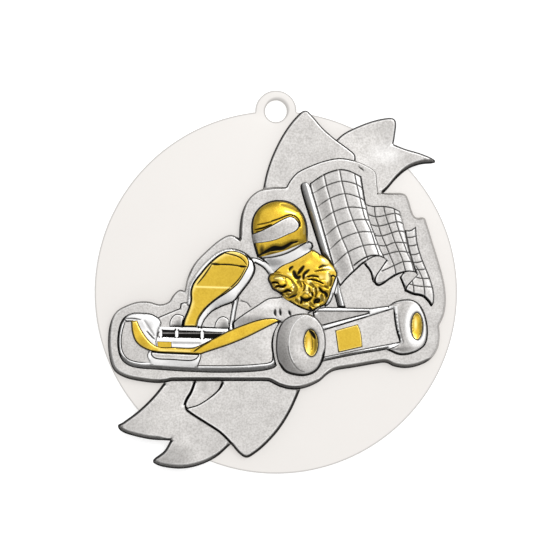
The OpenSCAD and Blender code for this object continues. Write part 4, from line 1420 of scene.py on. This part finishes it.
def turned_plate(name, loops, low, high, edge, widened):
    """A plate with rounded rims: loops are closed outlines, solid on the left of each.
    Where a loop's solid lies towards its widened vector, its rounding is that much wider."""
    arc = [math.radians(a) for a in (0, 30, 60, 90)]
    levels = [(edge * (1 - math.sin(a)), low + edge * (1 - math.cos(a))) for a in arc]
    levels += [(edge * (1 - math.cos(a)), high - edge * (1 - math.sin(a))) for a in arc]
    # How much painted shade each ring of the rim takes: full on the side and most of the rounding, gone
    # where the top face begins.
    shade = [1.0] * (len(levels) - 2) + [0.7, 0.0]
    points, faces, rim = [], [], []
    rims = {"low": [], "high": []}
    for loop, wide in zip(loops, widened):
        n = len(loop)
        along = unit(np.roll(loop, -1, 0) - np.roll(loop, 1, 0))
        inward = np.stack([-along[:, 1], along[:, 0]], 1)
        first = len(points)
        wider = (1 + np.maximum(inward @ np.array(wide), 0))[:, None]
        for (inset, z), dull in zip(levels, shade):
            ring = loop + inward * inset * wider
            points += [(x, y, z) for x, y in ring]
            rim += [dull] * n
        for k in range(len(levels) - 1):
            for i in range(n):
                j = (i + 1) % n
                a, b = first + k * n, first + (k + 1) * n
                faces.append((a + i, a + j, b + j, b + i))
        rims["low"].append(range(first, first + n))
        rims["high"].append(range(first + (len(levels) - 1) * n, first + len(levels) * n))
    for side, rings in rims.items():
        ids = [i for ring in rings for i in ring]
        for t in cap(np.array([points[i][:2] for i in ids]), loop_edges(rings)):
            faces.append(tuple(ids[k] for k in (t if side == "high" else t[::-1])))
    return new_piece(name, points, faces, DISC_CREASE, rim=rim)


def arc_points(centre, radius, start, end, step):
    """Points on an arc, step degrees apart, without its last."""
    count = max(8, int(abs(end - start) / step))
    a = np.radians(np.linspace(start, end, count, endpoint=False))
    return np.array(centre) + radius * np.stack([np.cos(a), np.sin(a)], 1)


def disc_loops():
    """The disc and its lug in one outline, and the eyelet's hole."""
    low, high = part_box("backing_disc")
    eyelet = next(m for m in frame["record"]["mounts"] if m["name"] == "eyelet")
    centre = (0.0, eyelet["pos_m"][1] / MM)
    hole = eyelet["dims"]["r_mm"]
    radius = -low.y / MM
    lug = high.y / MM - centre[1]
    # Where the lug's circle crosses the disc's
    y = (radius ** 2 - lug ** 2 + centre[1] ** 2) / (2 * centre[1])
    x = math.sqrt(radius ** 2 - y ** 2)
    on_disc = math.degrees(math.atan2(y, x))
    on_lug = math.degrees(math.atan2(y - centre[1], x))
    outer = np.vstack([
        arc_points((0, 0), radius, 180 - on_disc, 360 + on_disc, 1.0),
        arc_points(centre, lug, on_lug, 180 - on_lug, 4.0),
    ])
    inner = arc_points(centre, hole, 360, 0, 5.0)
    return [outer, inner], low.z / MM, high.z / MM


loops, low, high = disc_loops()
DISC_ROUNDING = 0.34
# The hole's rounding widens towards its upper right, where its painted shade shows as a dark crescent.
HOLE_WEAR = (0.9, 1.2)
plate = turned_plate("disc_body", loops, low, high, DISC_ROUNDING, [(0, 0), HOLE_WEAR])
finish_piece(plate, "backing_disc")


# ---- floor, light and camera

def softbox(name, place, size, power):
    """A square lamp that shines at the origin."""
    data = bpy.data.lights.new(name, "AREA")
    data.shape = "SQUARE"
    data.size = size
    data.energy = power
    lamp = bpy.data.objects.new(name, data)
    lamp.location = place
    lamp.rotation_mode = "QUATERNION"
    lamp.rotation_quaternion = (-Vector(place)).to_track_quat("-Z", "Y")
    bpy.context.scene.collection.objects.link(lamp)


def floor_material():
    t = Tree("studio_floor")
    tone = t.mix(t.noise(40, 2), (0.93, 0.93, 0.93), (0.95, 0.95, 0.95))
    t.shade(Base_Color=tone, Roughness=0.9, Emission_Color=(1.0, 1.0, 1.0))
    t.shade(Emission_Strength=0.5)
    return t.material


scene = bpy.context.scene
scene.view_settings.view_transform = "Standard"

FLOOR_HALF = 3.0
FLOOR_Z = -1e-5  # just below the disc's back
corners = [(x * FLOOR_HALF, y * FLOOR_HALF, FLOOR_Z) for x, y in ((-1, -1), (1, -1), (1, 1), (-1, 1))]
floor_mesh = bpy.data.meshes.new("studio_floor")
floor_mesh.from_pydata(corners, [], [(0, 1, 2, 3)])
floor_mesh.materials.append(floor_material())
floor = bpy.data.objects.new("studio_floor", floor_mesh)
scene.collection.objects.link(floor)
floor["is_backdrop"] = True

AMBIENT = 0.50
world = bpy.data.worlds.new("studio")
world.use_nodes = True
world.node_tree.nodes["Background"].inputs["Color"].default_value = (1, 1, 1, 1)
world.node_tree.nodes["Background"].inputs["Strength"].default_value = AMBIENT
scene.world = world

# Places and sizes in metres, powers in watts
softbox("overhead", place=(0.0, 0.12, 2.2), size=1.9, power=12.5)
softbox("key", place=(0.6, 0.8, 1.9), size=0.9, power=13.0)

# The camera looks straight down. The photograph shows VIEW_WIDTH of the plane of the disc's back,
# and its middle lies VIEW_SHIFT and VIEW_RISE from the object's.
CAMERA_DISTANCE = 1.5
VIEW_WIDTH = 0.10638
VIEW_SHIFT, VIEW_RISE = -0.00017, 0.00137
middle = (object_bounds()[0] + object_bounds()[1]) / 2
camera = bpy.data.cameras.new("camera")
camera.sensor_width = 36.0
camera.lens = camera.sensor_width * CAMERA_DISTANCE / VIEW_WIDTH
camera.clip_start, camera.clip_end = 0.01, 10.0
eye = bpy.data.objects.new("camera", camera)
eye.location = (VIEW_SHIFT, middle.y + VIEW_RISE, CAMERA_DISTANCE)
scene.collection.objects.link(eye)
scene.camera = eye
